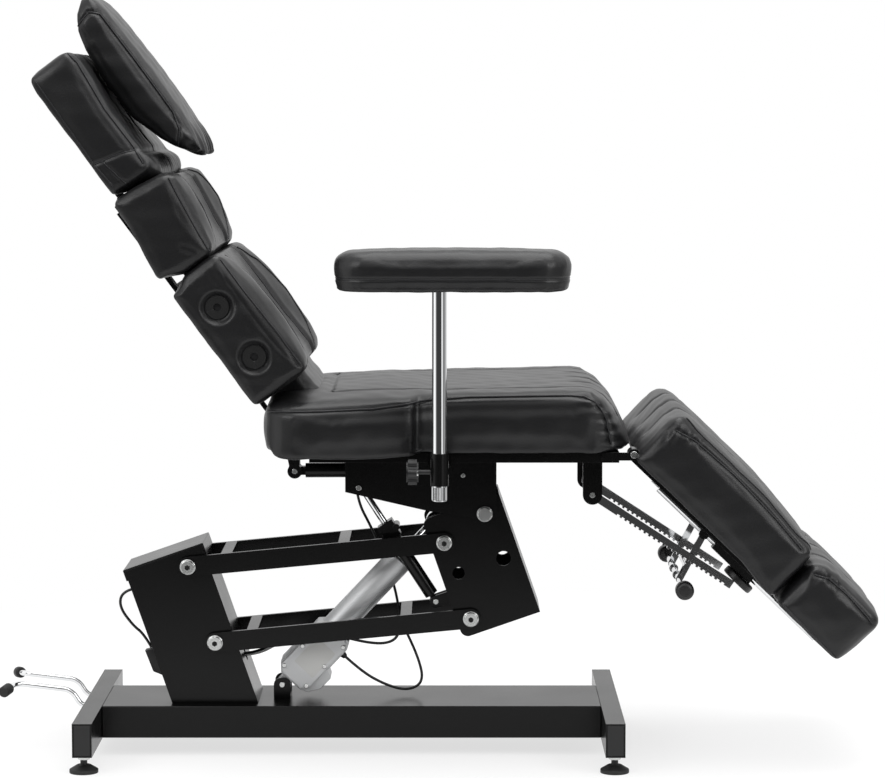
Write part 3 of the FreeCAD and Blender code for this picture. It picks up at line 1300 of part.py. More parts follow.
def leg_extension():
    rods = []
    plate_low = "(-extension_under - leg_rail_thickness)"
    for side in ("-", ""):
        rods.append(cylinder("SlideRod", "x", "slide_rod_radius",
                             extension_end + " - board_inset * 3 - slide_rod_start",
                             "slide_rod_start", side + "slide_rod_y", slide_rod_z))
    rods.append(box("RodPlate", extension_start + " + board_inset * 3",
                    extension_end + " - board_inset * 3", "-slide_rod_y - guide_width",
                    "slide_rod_y + guide_width", slide_rod_z, "-extension_under"))
    node(in_frame(fuse("ExtensionRods", rods), "leg"), "extension_rods")
    node(pad_board("ExtensionBoard", "leg", extension_start, extension_end, "leg_half_width",
                   "-extension_under"), "extension_board")


def clamp_knob():
    """The round hand screw that locks the extension."""
    top = "(%s - guide_drop / 2 - clamp_knob_gap)" % slide_rod_z
    disc = cylinder("ClampDisc", "z", "clamp_knob_radius", "clamp_knob_height", "clamp_knob_x",
                    "-slide_rod_y", top + " - clamp_knob_height")
    rounded = doc.addObject("Part::Fillet", "ClampDiscRound")
    doc.recompute()
    rounded.Base = disc
    rounded.Edges = [(i, size("clamp_knob_height / 4"), size("clamp_knob_height / 4"))
                     for i, edge in enumerate(disc.Shape.Edges, 1) if edge.Closed]
    stem = cylinder("ClampStem", "z", "clamp_stem_radius",
                    "clamp_knob_height / 2 + clamp_knob_gap + guide_drop / 2 - slide_rod_radius - free_gap",
                    "clamp_knob_x", "-slide_rod_y", top + " - clamp_knob_height / 2")
    node(in_frame(fuse("ClampKnob", [rounded, stem]), "leg"), "extension_knob")


def rack_hangers():
    plates = []
    for side in (-1, 1):
        inner = "(rack_y + rack_thickness / 2 + hanger_gap)"
        y = inner if side > 0 else "-%s - hanger_thickness" % inner
        plates.append(box("Hanger", "rack_pin_x - hanger_width / 2", "rack_pin_x + hanger_width / 2",
                          y, y + " + hanger_thickness", "rack_pin_z", "carrier_top"))
        plates.append(cylinder("HangerEnd", "y", "hanger_width / 2", "hanger_thickness",
                               "rack_pin_x", y, "rack_pin_z"))
    left = fuse("HangerNear", plates[:2])
    right = fuse("HangerFar", plates[2:])
    bore = "rack_y + 2 * hanger_thickness + rack_thickness"
    hangers = [cut("HangerBored", piece, [across_rod("HangerBore", "rack_pin_radius", bore,
                                                    "rack_pin_x", "rack_pin_z")])
               for piece in (left, right)]
    return hangers


def ratchet_rack(side):
    """One toothed bar: a blank with a pivot eye, and one tooth gap repeated along its lower edge."""
    body = new_body("RatchetRack")
    low = "(-rack_height / 2)"
    pad(body, rectangle("0", low, "rack_length", "rack_height / 2"), "rack_thickness")
    doc.recompute()
    start = "rack_tooth_first"
    gap = pocket(body, [(start, low + " - overrun"),
                        (start + " + rack_tooth_pitch * 2 / 3", low + " - overrun"),
                        (start + " + rack_tooth_pitch / 2", low + " + rack_tooth_depth"),
                        (start, low + " + rack_tooth_depth")], "rack_thickness + 2 * overrun")
    pattern = body.newObject("PartDesign::LinearPattern", "Teeth")
    pattern.Originals = [gap]
    pattern.Direction = (gap.Profile[0], ["H_Axis"])
    tie(pattern, "Length", "rack_tooth_pitch * (rack_tooth_count - 1)")
    tie(pattern, "Occurrences", "rack_tooth_count")
    body.Tip = pattern
    doc.recompute()
    eye = cylinder("RackEye", "y", "rack_eye_radius", "rack_thickness", "0", "-rack_thickness / 2")
    bore = across_rod("RackBore", "rack_pin_radius + running_gap", "rack_thickness")
    rack = cut("RackBored", fuse("RackBlank", [body, eye]), [bore])
    return in_frame(rack, "rack", "%d * rack_y" % side)


def catch_handle():
    """The catch that hooks under the racks: two arms, the pawl rod and the hand rod."""
    pieces = []
    reach = "sqrt(pow(catch_rod_x - catch_pivot_x; 2) + pow(catch_rod_z - catch_pivot_z; 2))"
    angle = "atan((catch_rod_z - catch_pivot_z) / (catch_rod_x - catch_pivot_x))"
    for side in ("-", ""):
        y = "%s(catch_arm_y) - catch_arm_thickness / 2" % side
        arm = box("CatchArm", "0", reach, y, y + " + catch_arm_thickness",
                  "-catch_arm_width / 2", "catch_arm_width / 2")
        eye = cylinder("CatchEye", "y", "catch_lug_radius", "catch_arm_thickness", "0", y)
        tip = cylinder("CatchTip", "y", "catch_arm_width / 2", "catch_arm_thickness", reach, y)
        side_arm = fuse("CatchSide", [arm, eye, tip])
        place(side_arm, "catch_pivot_x", "0", "catch_pivot_z", angle)
        pieces.append(side_arm)
        collar = "%s(catch_collar_y) - catch_collar_length / 2" % side
        pieces.append(cylinder("CatchCollar", "y", "catch_collar_radius", "catch_collar_length",
                               "catch_rod_x", collar, "catch_rod_z"))
    pieces.append(across_rod("PawlRod", "pawl_radius", "pawl_half", "pawl_x", "pawl_z"))
    pieces.append(across_rod("HandRod", "catch_rod_radius", "catch_rod_half", "catch_rod_x",
                             "catch_rod_z"))
    bore = across_rod("CatchArmBore", "catch_pin_radius + running_gap", "catch_arm_y + catch_arm_width",
                      "catch_pivot_x", "catch_pivot_z")
    knobs = [cut("CatchHandle", fuse("CatchWelded", pieces), [bore])]
    for side in (-1, 1):
        start = "catch_rod_half" if side > 0 else "-catch_rod_half - catch_knob_length"
        knob = cylinder("CatchKnob", "y", "catch_knob_radius", "catch_knob_length",
                        "catch_rod_x", start, "catch_rod_z")
        round_knob = doc.addObject("Part::Fillet", "CatchKnobRound")
        doc.recompute()
        round_knob.Base = knob
        round_knob.Edges = [(i, size("catch_knob_radius / 2"), size("catch_knob_radius / 2"))
                            for i, edge in enumerate(knob.Shape.Edges, 1) if edge.Closed]
        knobs.append(round_knob)
    node(in_frame(group("CatchHandleSet", knobs), "leg"), "catch_handle")


# Armrests

def arm_brackets():
    """Flat bars from the seat frame to the two post sleeves; the armrest is fitted on the right."""
    pieces = []
    for side in (-1, 1):
        start = "arm_bracket_start" if side > 0 else "-arm_post_y"
        end = "arm_post_y" if side > 0 else "-arm_bracket_start"
        bar = box("ArmBracket", "arm_post_x - arm_bracket_width / 2",
                  "arm_post_x + arm_bracket_width / 2", start, end,
                  "carrier_top - arm_bracket_height", "carrier_top")
        sleeve = cylinder("ArmSleeve", "z", "arm_sleeve_radius", "arm_sleeve_top - arm_sleeve_bottom",
                          "arm_post_x", "%d * arm_post_y" % side, "arm_sleeve_bottom")
        tools = [cylinder("SleeveBore", "z", "arm_post_radius + running_gap",
                          "arm_sleeve_top - arm_sleeve_bottom + 2 * overrun", "arm_post_x",
                          "%d * arm_post_y" % side, "arm_sleeve_bottom - overrun")]
        if side < 0:
            tools.append(cylinder("ScrewBore", "x", "arm_screw_radius + running_gap",
                                  "arm_bracket_width / 2 + overrun",
                                  "arm_post_x - arm_bracket_width / 2 - overrun",
                                  "%d * arm_post_y" % side, "arm_knob_rise"))
        pieces.append(cut("ArmHolder", fuse("ArmHolderBlank", [bar, sleeve]), tools))
    return pieces


def arm_knob(side, name):
    """A star knob with its clamp screw, on the head side of the sleeve."""
    right = "(-arm_sleeve_radius - arm_knob_gap)"
    left = "(%s - arm_knob_length)" % right
    core = cylinder("KnobCore", "x", "arm_knob_core", "arm_knob_length", left)
    lobes = []
    for index in range(6):
        angle = index * 60
        lobes.append(cylinder("KnobLobe", "x", "arm_knob_lobe", "arm_knob_length * 3 / 4",
                              left + " + arm_knob_length / 8",
                              "(arm_knob_radius - arm_knob_lobe) * cos(%d)" % angle,
                              "(arm_knob_radius - arm_knob_lobe) * sin(%d)" % angle))
    screw = cylinder("KnobScrew", "x", "arm_screw_radius",
                     "arm_knob_gap + arm_knob_length / 2 + arm_sleeve_radius - arm_post_radius - free_gap",
                     right + " - arm_knob_length / 2")
    whole = fuse("ArmKnob", [core, screw] + lobes)
    place(whole, "arm_post_x", "%d * arm_post_y" % side, "arm_knob_rise")
    node(whole, "arm_knob_" + name)


def arm_post(side, name):
    post = cylinder("ArmPost", "z", "arm_post_radius",
                    "arm_board_bottom + arm_socket_depth - arm_post_bottom", "arm_post_x",
                    "%d * arm_post_y" % side, "arm_post_bottom")
    node(post, "arm_post_" + name)


def arm_top(side, name):
    """The board, which turns on the post, and the padded top."""
    y = "%d * arm_post_y" % side
    centre = size("arm_post_x + arm_pad_offset")
    half_length = size("arm_pad_length / 2")
    half = size("arm_pad_width / 2")
    inset = size("arm_board_inset")
    corner = size("arm_pad_corner")
    low = size("arm_board_bottom")
    seam = low + size("arm_board_thickness")
    board_level_shares = [(0, 2 * inset), (0.5, inset), (1, inset)]
    wires = [rounded_outline(centre - half_length + gap, centre + half_length - gap, half - gap, corner,
                             low + (seam - low) * share) for share, gap in board_level_shares]
    board = Part.makeLoft(wires, True, True)
    bore = Part.makeCylinder(size("arm_post_radius + running_gap"), size("arm_socket_depth + overrun"),
                             FreeCAD.Vector(size("arm_post_x"), 0, low - size("overrun")), up)
    piece = shaped("ArmBoard", board.cut(bore))
    top = seam + size("arm_pad_thickness")
    pad_level_shares = [(0, inset / 2), (0.3, 0), (0.62, 0), (0.88, inset), (1, 3 * inset)]
    wires = [rounded_outline(centre - half_length + gap, centre + half_length - gap, half - gap, corner,
                             seam + (top - seam) * share) for share, gap in pad_level_shares]
    padding = shaped("ArmPadding", Part.makeLoft(wires, True, False))
    node(place(group("ArmTop", [piece, padding]), "0", y, "0"), "arm_pad_" + name)


# Pedal

def smooth_wire(points, share=0.45):
    """Straight runs joined by tangent arcs, each as large as its two runs allow."""
    edges = []
    radii = []
    start = points[0]
    for before, corner, after in zip(points, points[1:], points[2:]):
        to_corner = corner - before
        from_corner = after - corner
        turn = to_corner.getAngle(from_corner)
        shorter = min(to_corner.Length, from_corner.Length)
        trim = share * shorter
        radii.append(trim / math.tan(turn / 2))
        first = corner - FreeCAD.Vector(to_corner).normalize() * trim
        last = corner + FreeCAD.Vector(from_corner).normalize() * trim
        inward = (FreeCAD.Vector(from_corner).normalize() - FreeCAD.Vector(to_corner).normalize())
        inward.normalize()
        sagitta = radii[-1] / math.cos(turn / 2) - radii[-1]
        middle = corner + inward * sagitta
        edges.append(Part.LineSegment(start, first).toShape())
        edges.append(Part.Arc(first, middle, last).toShape())
        start = last
    edges.append(Part.LineSegment(start, points[-1]).toShape())
    return Part.Wire(edges), radii


def tube_along(points, radius):
    wire, radii = smooth_wire(points)
    direction = points[1] - points[0]
    profile = Part.Wire([Part.Circle(points[0], direction, radius).toShape()])
    solid = wire.makePipeShell([profile], True, False)
    expected = math.pi * radius ** 2 * wire.Length
    print("tube %.0f mm long, radii %s, volume ratio %.3f" % (
        wire.Length, " ".join("%.0f" % r for r in radii), solid.Volume / expected))
    return solid


def pedal():
    """The foot control: two chrome rods on a rocking shaft inside the rear foot."""
    pieces = []
    for side in (-1, 1):
        y = side * size("pedal_rod_y")
        points = [FreeCAD.Vector(0, y, 0),
                  FreeCAD.Vector(-size("pedal_kick_x * 3 / 5"), y, size("pedal_kick_z / 10")),
                  FreeCAD.Vector(-size("pedal_kick_x"), y, size("pedal_kick_z")),
                  FreeCAD.Vector(-size("pedal_reach"), y, size("pedal_rise")),
                  FreeCAD.Vector(-size("pedal_reach + pedal_toe_back"), y + side * size("pedal_toe"),
                                 size("pedal_rise - pedal_toe_drop"))]
        pieces.append(tube_along(points, size("pedal_rod_radius")))
    half = size("pedal_shaft_half")
    shaft = Part.makeCylinder(size("pedal_shaft_radius"), 2 * half, FreeCAD.Vector(0, -half, 0), across)
    lever = shaped("PedalLever", shaft.fuse(pieces))
    place(lever, "rear_foot_x", "0", "pedal_z")
    caps = [lever]
    for side in (-1, 1):
        y = side * size("pedal_rod_y")
        toe = FreeCAD.Vector(-size("pedal_reach + pedal_toe_back"), y + side * size("pedal_toe"),
                             size("pedal_rise - pedal_toe_drop"))
        bend = FreeCAD.Vector(-size("pedal_reach"), y, size("pedal_rise"))
        direction = toe - bend
        direction.normalize()
        start = toe - direction * size("pedal_cap_length / 3")
        blank = Part.makeCylinder(size("pedal_cap_radius"), size("pedal_cap_length"), start, direction)
        blank = blank.makeFillet(size("pedal_cap_radius / 3"),
                                 [edge for edge in blank.Edges if edge.Closed])
        socket = Part.makeCylinder(size("pedal_rod_radius"), size("pedal_cap_length / 3"),
                                   start, direction)
        cap = shaped("PedalCap", blank.cut(socket))
        place(cap, "rear_foot_x", "0", "pedal_z")
        caps.append(cap)
    node(group("PedalSet", caps), "pedal")


def pedal_bearings():
    """Two bearing blocks inside the rear foot, and the switch between them."""
    pieces = []
    inner = "(foot_width / 2 - foot_wall)"
    for side in ("-", ""):
        y = "%s(pedal_shaft_half) - pedal_bearing / 2" % side
        block = box("PedalBearing", "rear_foot_x - " + inner, "rear_foot_x + " + inner, y,
                    y + " + pedal_bearing", "pedal_z - pedal_shaft_radius - foot_wall - overrun",
                    "base_top - foot_wall")
        bore = across_rod("PedalBore", "pedal_shaft_radius + running_gap",
                          "pedal_shaft_half + pedal_bearing", "rear_foot_x", "pedal_z")
        pieces.append(cut("PedalBearingBored", block, [bore]))
    top = "(pedal_z - pedal_shaft_radius - free_gap)"
    pieces.append(box("PedalSwitch", "rear_foot_x - pedal_switch_depth / 2",
                      "rear_foot_x + pedal_switch_depth / 2", "-pedal_switch_width / 2",
                      "pedal_switch_width / 2", foot_bottom + " + foot_wall", top))
    node(group("PedalBearings", pieces), "pedal_bearings")


# Leads

def vectors(points):
    return [FreeCAD.Vector(*point) for point in points]


def lead(label, points, radius, glands):
    """A cable along its route, with a gland where it enters a housing."""
    route = vectors(points)
    pieces = []
    for end, inward in glands:
        direction = route[inward] - route[end]
        pieces.append(Part.makeCylinder(size("gland_radius"), size("gland_length"), route[end], direction))
    cable = tube_along(route, size(radius))
    return shaped(label, cable.fuse(pieces) if pieces else cable)


def rear_lead():
    """The lead that leaves the tower's rear wall high up and plugs in again below."""
    cable = lead("RearLead", [(-554.2, -20, 288), (-576, -20, 283), (-582, -20, 256),
                              (-558, -20, 222), (-538, -20, 206), (-524.6, -20, 181.8)],
                 "cable_radius", [])
    body = new_body("RearPlug")
    half_wall = "(tower_depth / 2 / cos(lean))"
    low = "(cable_hole_rise / 2)"
    high = "(cable_hole_rise * 5 / 4)"
    bulge = "(gland_radius * 2)"
    wall = "tower_x - " + half_wall + " - %s * tan(lean) - running_gap"
    pad(body, [(wall % low, "base_top + " + low), (wall % high, "base_top + " + high),
               (wall % high + " - " + bulge, "base_top + %s - gland_radius" % high),
               (wall % high + " - " + bulge, "base_top + %s - gland_length * 2" % high)],
        "rear_plug_width")
    doc.recompute()
    place(body, "0", "-20", "0")
    node(group("RearLeadSet", [cable, body]), "rear_lead")


def lift_leads():
    """The motor's conduit and lead from the tower, and the long loop that feeds the seat."""
    conduit = lead("MotorConduit", [(-366, 3, 166), (-340, 8, 162), (-290, 44, 184), (-262, 46, 188),
                                    (-246, 46, 155.6)], "conduit_radius", [])
    control = lead("MotorLead", [(-366, -5, 168), (-340, -7, 169), (-300, -52, 196),
                                 (-240, -55, 222), (-150, -55, 238), (-104, -55, 242),
                                 (-77, -53, 224), (-87, -48, 197), (-126, -38, 190),
                                 (-169.4, -18, 197.4)], "cable_radius", [])
    loop = lead("SeatLead", [(-183.9, 0, 167.4), (-150, 0, 135.3), (-106, 5, 109), (-65, 10, 97),
                             (-36, 15, 112), (-46, 20, 157), (-78, 32, 222), (-90, 42, 291),
                             (-126, 48, 380), (-163, 48, 450), (-163, 48, 536.9)], "cable_radius",
                [(0, 1), (10, 9)])
    node(conduit, "motor_conduit")
    node(control, "motor_lead")
    node(loop, "seat_lead")


# Build

base_beam()
cross_foot("rear_cross_foot", "rear_foot_x", True)
cross_foot("front_cross_foot", "front_foot_x", False)
node(group("FootFittings", foot_end_caps() + foot_locknuts()), "foot_fittings")
for foot_x, foot_y, foot_name in foot_places():
    levelling_foot(foot_x, foot_y, foot_name)
tower()
tower_cover()
control_box()
tower_bolts()
link_frame("upper_link_frame", "upper_link", "upper_flat_first", "upper_flat_second")
link_frame("lower_link_frame", "lower_link", "lower_flat_first", "lower_flat_second")
column()
column_pins()
actuator_clevis()
gearbox_housing()
gearbox_cover()
lift_motor()
lift_tube()
lift_rod()
tilt_strut()
seat_carrier()
seat_frame()
node(group("SeatPins", carrier_pins() + hinge_pins()), "seat_pins")
seat_board()
seat_cushion()
back_frame()
back_boards()
lumbar_cushion()
upper_back_cushion()
accessory_sockets()
back_actuator()
head_frame()
head_cushion()
head_pillow()
leg_frame()
leg_cushion()
leg_extension()
extension_cushion()
clamp_knob()
node(group("Racks", [ratchet_rack(-1), ratchet_rack(1)]), "ratchet_racks")
catch_handle()
arm_knob(-1, "right")
arm_post(-1, "right")
arm_top(-1, "right")
pedal()
pedal_bearings()
rear_lead()
lift_leads()
doc.recompute()

for thing in doc.Objects:
    if "Invalid" in thing.State or "Error" in thing.State:
        raise ValueError("%s of %s could not be built" % (thing.Label, [p.Name for p in thing.InList]))
for piece in nodes:
    if piece.Shape.isNull() or not piece.Shape.isValid():
        raise ValueError("%s has no valid shape" % piece.Label)

os.makedirs("parts", exist_ok=True)
for piece in nodes:
    piece.Shape.exportStep("parts/%s.step" % piece.Label)
print("%d nodes" % len(nodes))
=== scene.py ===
import json
import math

import bmesh
import bpy
import numpy as np
from mathutils import Matrix, Vector
from mathutils.bvhtree import BVHTree

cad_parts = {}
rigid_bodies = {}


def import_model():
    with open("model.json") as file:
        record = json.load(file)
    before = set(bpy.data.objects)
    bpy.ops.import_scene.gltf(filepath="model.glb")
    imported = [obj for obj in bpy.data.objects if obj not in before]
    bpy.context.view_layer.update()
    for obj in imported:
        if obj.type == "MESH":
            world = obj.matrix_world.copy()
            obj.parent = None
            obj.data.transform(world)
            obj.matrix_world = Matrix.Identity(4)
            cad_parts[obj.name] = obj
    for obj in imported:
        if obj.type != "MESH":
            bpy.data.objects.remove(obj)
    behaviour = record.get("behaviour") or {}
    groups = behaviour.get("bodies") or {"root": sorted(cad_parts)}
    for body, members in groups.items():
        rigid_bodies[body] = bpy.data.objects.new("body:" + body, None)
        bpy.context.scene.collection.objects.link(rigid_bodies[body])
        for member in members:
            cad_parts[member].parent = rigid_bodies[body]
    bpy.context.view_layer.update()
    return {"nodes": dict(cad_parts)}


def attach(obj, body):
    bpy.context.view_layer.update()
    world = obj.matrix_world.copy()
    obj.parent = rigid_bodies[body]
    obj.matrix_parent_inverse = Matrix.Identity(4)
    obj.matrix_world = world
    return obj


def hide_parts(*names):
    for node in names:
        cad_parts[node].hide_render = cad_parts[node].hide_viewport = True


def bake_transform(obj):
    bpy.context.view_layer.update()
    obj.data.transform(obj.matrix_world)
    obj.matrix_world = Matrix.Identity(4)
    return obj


for thing in list(bpy.data.objects):
    bpy.data.objects.remove(thing)

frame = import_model()
nodes = frame["nodes"]
mm = 0.001
print("frame loaded: %d nodes" % len(nodes))


def placed(name, data):
    obj = bpy.data.objects.new(name, data)
    bpy.context.scene.collection.objects.link(obj)
    return obj


# Camera

view = {"place": (0.004, -5.534, 1.154), "tilt": 5.254, "focal": 126.5, "shift": -0.004}
camera = placed("camera", bpy.data.cameras.new("camera"))
camera.location = view["place"]
camera.rotation_euler = (math.radians(90 - view["tilt"]), 0, 0)
camera.data.sensor_width = 36
camera.data.lens = view["focal"]
camera.data.shift_x = view["shift"]
camera.data.clip_end = 60
bpy.context.scene.camera = camera


# Colours and materials

def hexColour(code):
    channels = [int(code[i:i + 2], 16) / 255 for i in (1, 3, 5)]
    return [c / 12.92 if c <= 0.04045 else ((c + 0.055) / 1.055) ** 2.4 for c in channels] + [1]


def addNode(tree, kind, settings=None, numbered=(), **links):
    # numbered gives sources or values by the input's number, links give sources by its name
    made = tree.nodes.new(kind)
    for key, value in (settings or {}).items():
        if hasattr(made, key):
            setattr(made, key, value)
        else:
            made.inputs[key].default_value = value
    for slot, source in dict(numbered).items():
        if isinstance(source, bpy.types.NodeSocket):
            tree.links.new(source, made.inputs[slot])
        else:
            made.inputs[slot].default_value = source
    for key, source in links.items():
        tree.links.new(source, made.inputs[key.replace("_", " ")])
    return made


def newMaterial(name):
    material = bpy.data.materials.new(name)
    material.use_nodes = True
    tree = material.node_tree
    tree.nodes.clear()
    shader = addNode(tree, "ShaderNodeBsdfPrincipled")
    out = addNode(tree, "ShaderNodeOutputMaterial")
    tree.links.new(shader.outputs["BSDF"], out.inputs["Surface"])
    place = addNode(tree, "ShaderNodeTexCoord").outputs["Object"]
    return material, tree, shader, place


def bumped(tree, shader, height, distance, strength=1.0):
    bump = addNode(tree, "ShaderNodeBump", {"Distance": distance, "Strength": strength}, Height=height)
    tree.links.new(bump.outputs["Normal"], shader.inputs["Normal"])
    return bump


def mottled(tree, place, scale, low, high, detail=3.0):
    # a noise mapped between two values, for roughness or tone
    noise = addNode(tree, "ShaderNodeTexNoise", {"Scale": scale, "Detail": detail}, Vector=place)
    span = addNode(tree, "ShaderNodeMapRange", {"To Min": low, "To Max": high}, Value=noise.outputs["Fac"])
    return span.outputs["Result"]


vinyl = {"tone": "#121213", "rough": (0.34, 0.42), "grainMm": 3.0, "grainHeight": 0.00022,
         "creaseMm": 70, "creaseHeight": 0.0006}


def upholsteryVinyl(name, tone, creases=1.0):
    # calendered vinyl over foam: near-black, a broad soft sheen, its fine grain drawn 3 mm coarse to show
    material, tree, shader, place = newMaterial(name)
    shader.inputs["Base Color"].default_value = hexColour(tone)
    tree.links.new(mottled(tree, place, 14, *vinyl["rough"]), shader.inputs["Roughness"])
    shader.inputs["Specular IOR Level"].default_value = 0.36
    grain = addNode(tree, "ShaderNodeTexVoronoi", {"Scale": 1 / (vinyl["grainMm"] * mm)}, Vector=place)
    fine = addNode(tree, "ShaderNodeBump", {"Distance": vinyl["grainHeight"], "Strength": 0.5},
                   Height=grain.outputs["Distance"])
    crease = addNode(tree, "ShaderNodeTexNoise", {"Scale": 1 / (vinyl["creaseMm"] * mm), "Detail": 4.0,
                                                  "Roughness": 0.5}, Vector=place)
    broad = addNode(tree, "ShaderNodeBump", {"Distance": vinyl["creaseHeight"] * creases, "Strength": 0.6},
                    Height=crease.outputs["Fac"], Normal=fine.outputs["Normal"])
    tree.links.new(broad.outputs["Normal"], shader.inputs["Normal"])
    return material


def powderCoat(name, tone, rough):
    # baked black powder: satin, a faint 2 mm orange peel that breaks up reflections
    material, tree, shader, place = newMaterial(name)
    shader.inputs["Base Color"].default_value = hexColour(tone)
    tree.links.new(mottled(tree, place, 9, rough - 0.04, rough + 0.05), shader.inputs["Roughness"])
    shader.inputs["Specular IOR Level"].default_value = 0.2
    peel = addNode(tree, "ShaderNodeTexNoise", {"Scale": 1 / (2.0 * mm), "Detail": 2.0}, Vector=place)
    bumped(tree, shader, peel.outputs["Fac"], 0.00005, 0.5)
    return material


def bareMetal(name, tone, rough, spread=0.04, cloudMm=40):
    # plated or drawn metal: coloured reflections, slightly uneven gloss
    material, tree, shader, place = newMaterial(name)
    shader.inputs["Base Color"].default_value = hexColour(tone)
    shader.inputs["Metallic"].default_value = 1.0
    cloud = mottled(tree, place, 1 / (cloudMm * mm), rough, rough + spread)
    tree.links.new(cloud, shader.inputs["Roughness"])
    return material


def castAluminium(name):
    # die cast and tumbled: pale grey, dull, with a pitted skin of about 1.5 mm
    material, tree, shader, place = newMaterial(name)
    tree.links.new(mottled(tree, place, 60, 0.42, 0.6), shader.inputs["Roughness"])
    shader.inputs["Base Color"].default_value = hexColour("#c2c3c4")
    shader.inputs["Metallic"].default_value = 0.7
    pits = addNode(tree, "ShaderNodeTexNoise", {"Scale": 1 / (1.5 * mm), "Detail": 4.0}, Vector=place)
    bumped(tree, shader, pits.outputs["Fac"], 0.0002, 0.6)
    return material


def mouldedPlastic(name, tone, rough):
    # spark-textured ABS or nylon: matt black with a weak highlight
    material, tree, shader, place = newMaterial(name)
    shader.inputs["Base Color"].default_value = hexColour(tone)
    tree.links.new(mottled(tree, place, 30, rough - 0.05, rough + 0.05), shader.inputs["Roughness"])
    grit = addNode(tree, "ShaderNodeTexNoise", {"Scale": 1 / (0.8 * mm), "Detail": 2.0}, Vector=place)
    bumped(tree, shader, grit.outputs["Fac"], 0.00008, 0.6)
    return material


vinylPanel = upholsteryVinyl("blackUpholsteryVinyl", vinyl["tone"])
weltVinyl = upholsteryVinyl("blackVinylWelt", "#18181a", 0.2)
tongueVinyl = upholsteryVinyl("blackVinylTongue", vinyl["tone"], 2.0)
blackPaint = powderCoat("blackPowderCoat", "#080808", 0.24)
chromePlate = bareMetal("brightChromePlate", "#e8e9ea", 0.04, 0.03)
zincPlate = bareMetal("zincPlatedSteel", "#c9cac9", 0.2, 0.1, 12)
anodised = bareMetal("anodisedAluminiumTube", "#c2c3c4", 0.48, 0.1)
castMetal = castAluminium("tumbledCastAluminium")
blackPlastic = mouldedPlastic("blackMouldedNylon", "#0e0e0f", 0.42)
blackRubber = mouldedPlastic("blackRubber", "#0b0b0b", 0.6)
cableSheath = mouldedPlastic("blackPvcCable", "#08080a", 0.34)
greySleeve = mouldedPlastic("greyWovenSleeve", "#8d8d8d", 0.55)
boardWrap = mouldedPlastic("blackClothOverPlywood", "#0d0d0e", 0.7)
labelFilm = mouldedPlastic("plainSilverLabelFilm", "#b4b4b2", 0.35)
# near-black painted shade, laid on the socket bores and the bolts' hexagon sockets where their hollows lie in
# shadow
paintedRecessShade = mouldedPlastic("paintedShadeRecessBlack", "#010101", 0.9)
print("materials made")


# Helpers for pieces

def meshFrom(bm, name, smooth=False):
    for face in bm.faces:
        face.smooth = smooth
    mesh = bpy.data.meshes.new(name)
    bm.to_mesh(mesh)
    bm.free()
    return mesh


def shown(name, mesh, material, body):
    obj = placed(name, mesh)
    if material and not mesh.materials:
        mesh.materials.append(material)
    if body:
        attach(obj, body)
    return obj


# Cables, each on its route from the source

def cable(name, node, route, diameter, material, pieces=()):
    curve = bpy.data.curves.new(name, "CURVE")
    curve.dimensions = "3D"
    line = curve.splines.new("NURBS")
    line.points.add(len(route) - 1)
    for point, spot in zip(line.points, route):
        point.co = (*spot, 1)
    line.order_u = 3
    line.use_endpoint_u = True
    line.resolution_u = 16
    curve.bevel_depth = diameter / 2
    curve.bevel_resolution = 4
    curve.materials.append(material)
    obj = placed(name, curve)
    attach(obj, "root")
    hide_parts(node)
    return obj


def gland(name, start, towards, radius, length):
    # a moulded strain relief that narrows onto its cable
    bm = bmesh.new()
    bmesh.ops.create_cone(bm, cap_ends=True, segments=32, radius1=radius, radius2=radius * 0.62, depth=length)
    rims = [e for e in bm.edges if abs(e.verts[0].co.z - e.verts[1].co.z) < 1e-6 and len(e.link_faces) == 2]
    bmesh.ops.bevel(bm, geom=rims, offset=0.0012, segments=2, profile=0.5, affect="EDGES", material=-1)
    bmesh.ops.translate(bm, vec=(0, 0, length / 2), verts=bm.verts)
    direction = (Vector(towards) - Vector(start)).normalized()
    turn = direction.to_track_quat("Z", "Y").to_matrix().to_4x4()
    bmesh.ops.transform(bm, matrix=Matrix.Translation(Vector(start)) @ turn, verts=bm.verts)
    return shown(name, meshFrom(bm, name, True), blackPlastic, "root")


leads = {
    "rear": [(-0.5542, -0.02, 0.288), (-0.576, -0.02, 0.283), (-0.582, -0.02, 0.256), (-0.558, -0.02, 0.222),
             (-0.538, -0.02, 0.206), (-0.5246, -0.02, 0.1818)],
    "conduit": [(-0.366, 0.003, 0.166), (-0.34, 0.008, 0.162), (-0.29, 0.044, 0.184), (-0.262, 0.046, 0.188),
                (-0.246, 0.046, 0.1556)],
    "motor": [(-0.366, -0.005, 0.168), (-0.34, -0.007, 0.169), (-0.3, -0.052, 0.196), (-0.24, -0.055, 0.222),
              (-0.15, -0.055, 0.238), (-0.104, -0.055, 0.242), (-0.077, -0.053, 0.224),
              (-0.087, -0.048, 0.197), (-0.126, -0.038, 0.19), (-0.1694, -0.018, 0.1974)],
    "seat": [(-0.1839, 0, 0.1674), (-0.15, 0, 0.1353), (-0.106, 0.005, 0.109), (-0.065, 0.01, 0.097),
             (-0.036, 0.015, 0.112), (-0.046, 0.02, 0.157), (-0.078, 0.032, 0.222), (-0.09, 0.042, 0.291),
             (-0.126, 0.048, 0.38), (-0.163, 0.048, 0.45), (-0.163, 0.048, 0.5369)],
}
plug = {"width": 18, "middle": -20, "round": 2.2,
        "corners": {(-1, -1): (-521, 139), (1, -1): (-498.5, 130),
                    (-1, 1): (-536, 178), (1, 1): (-514.5, 183)}}


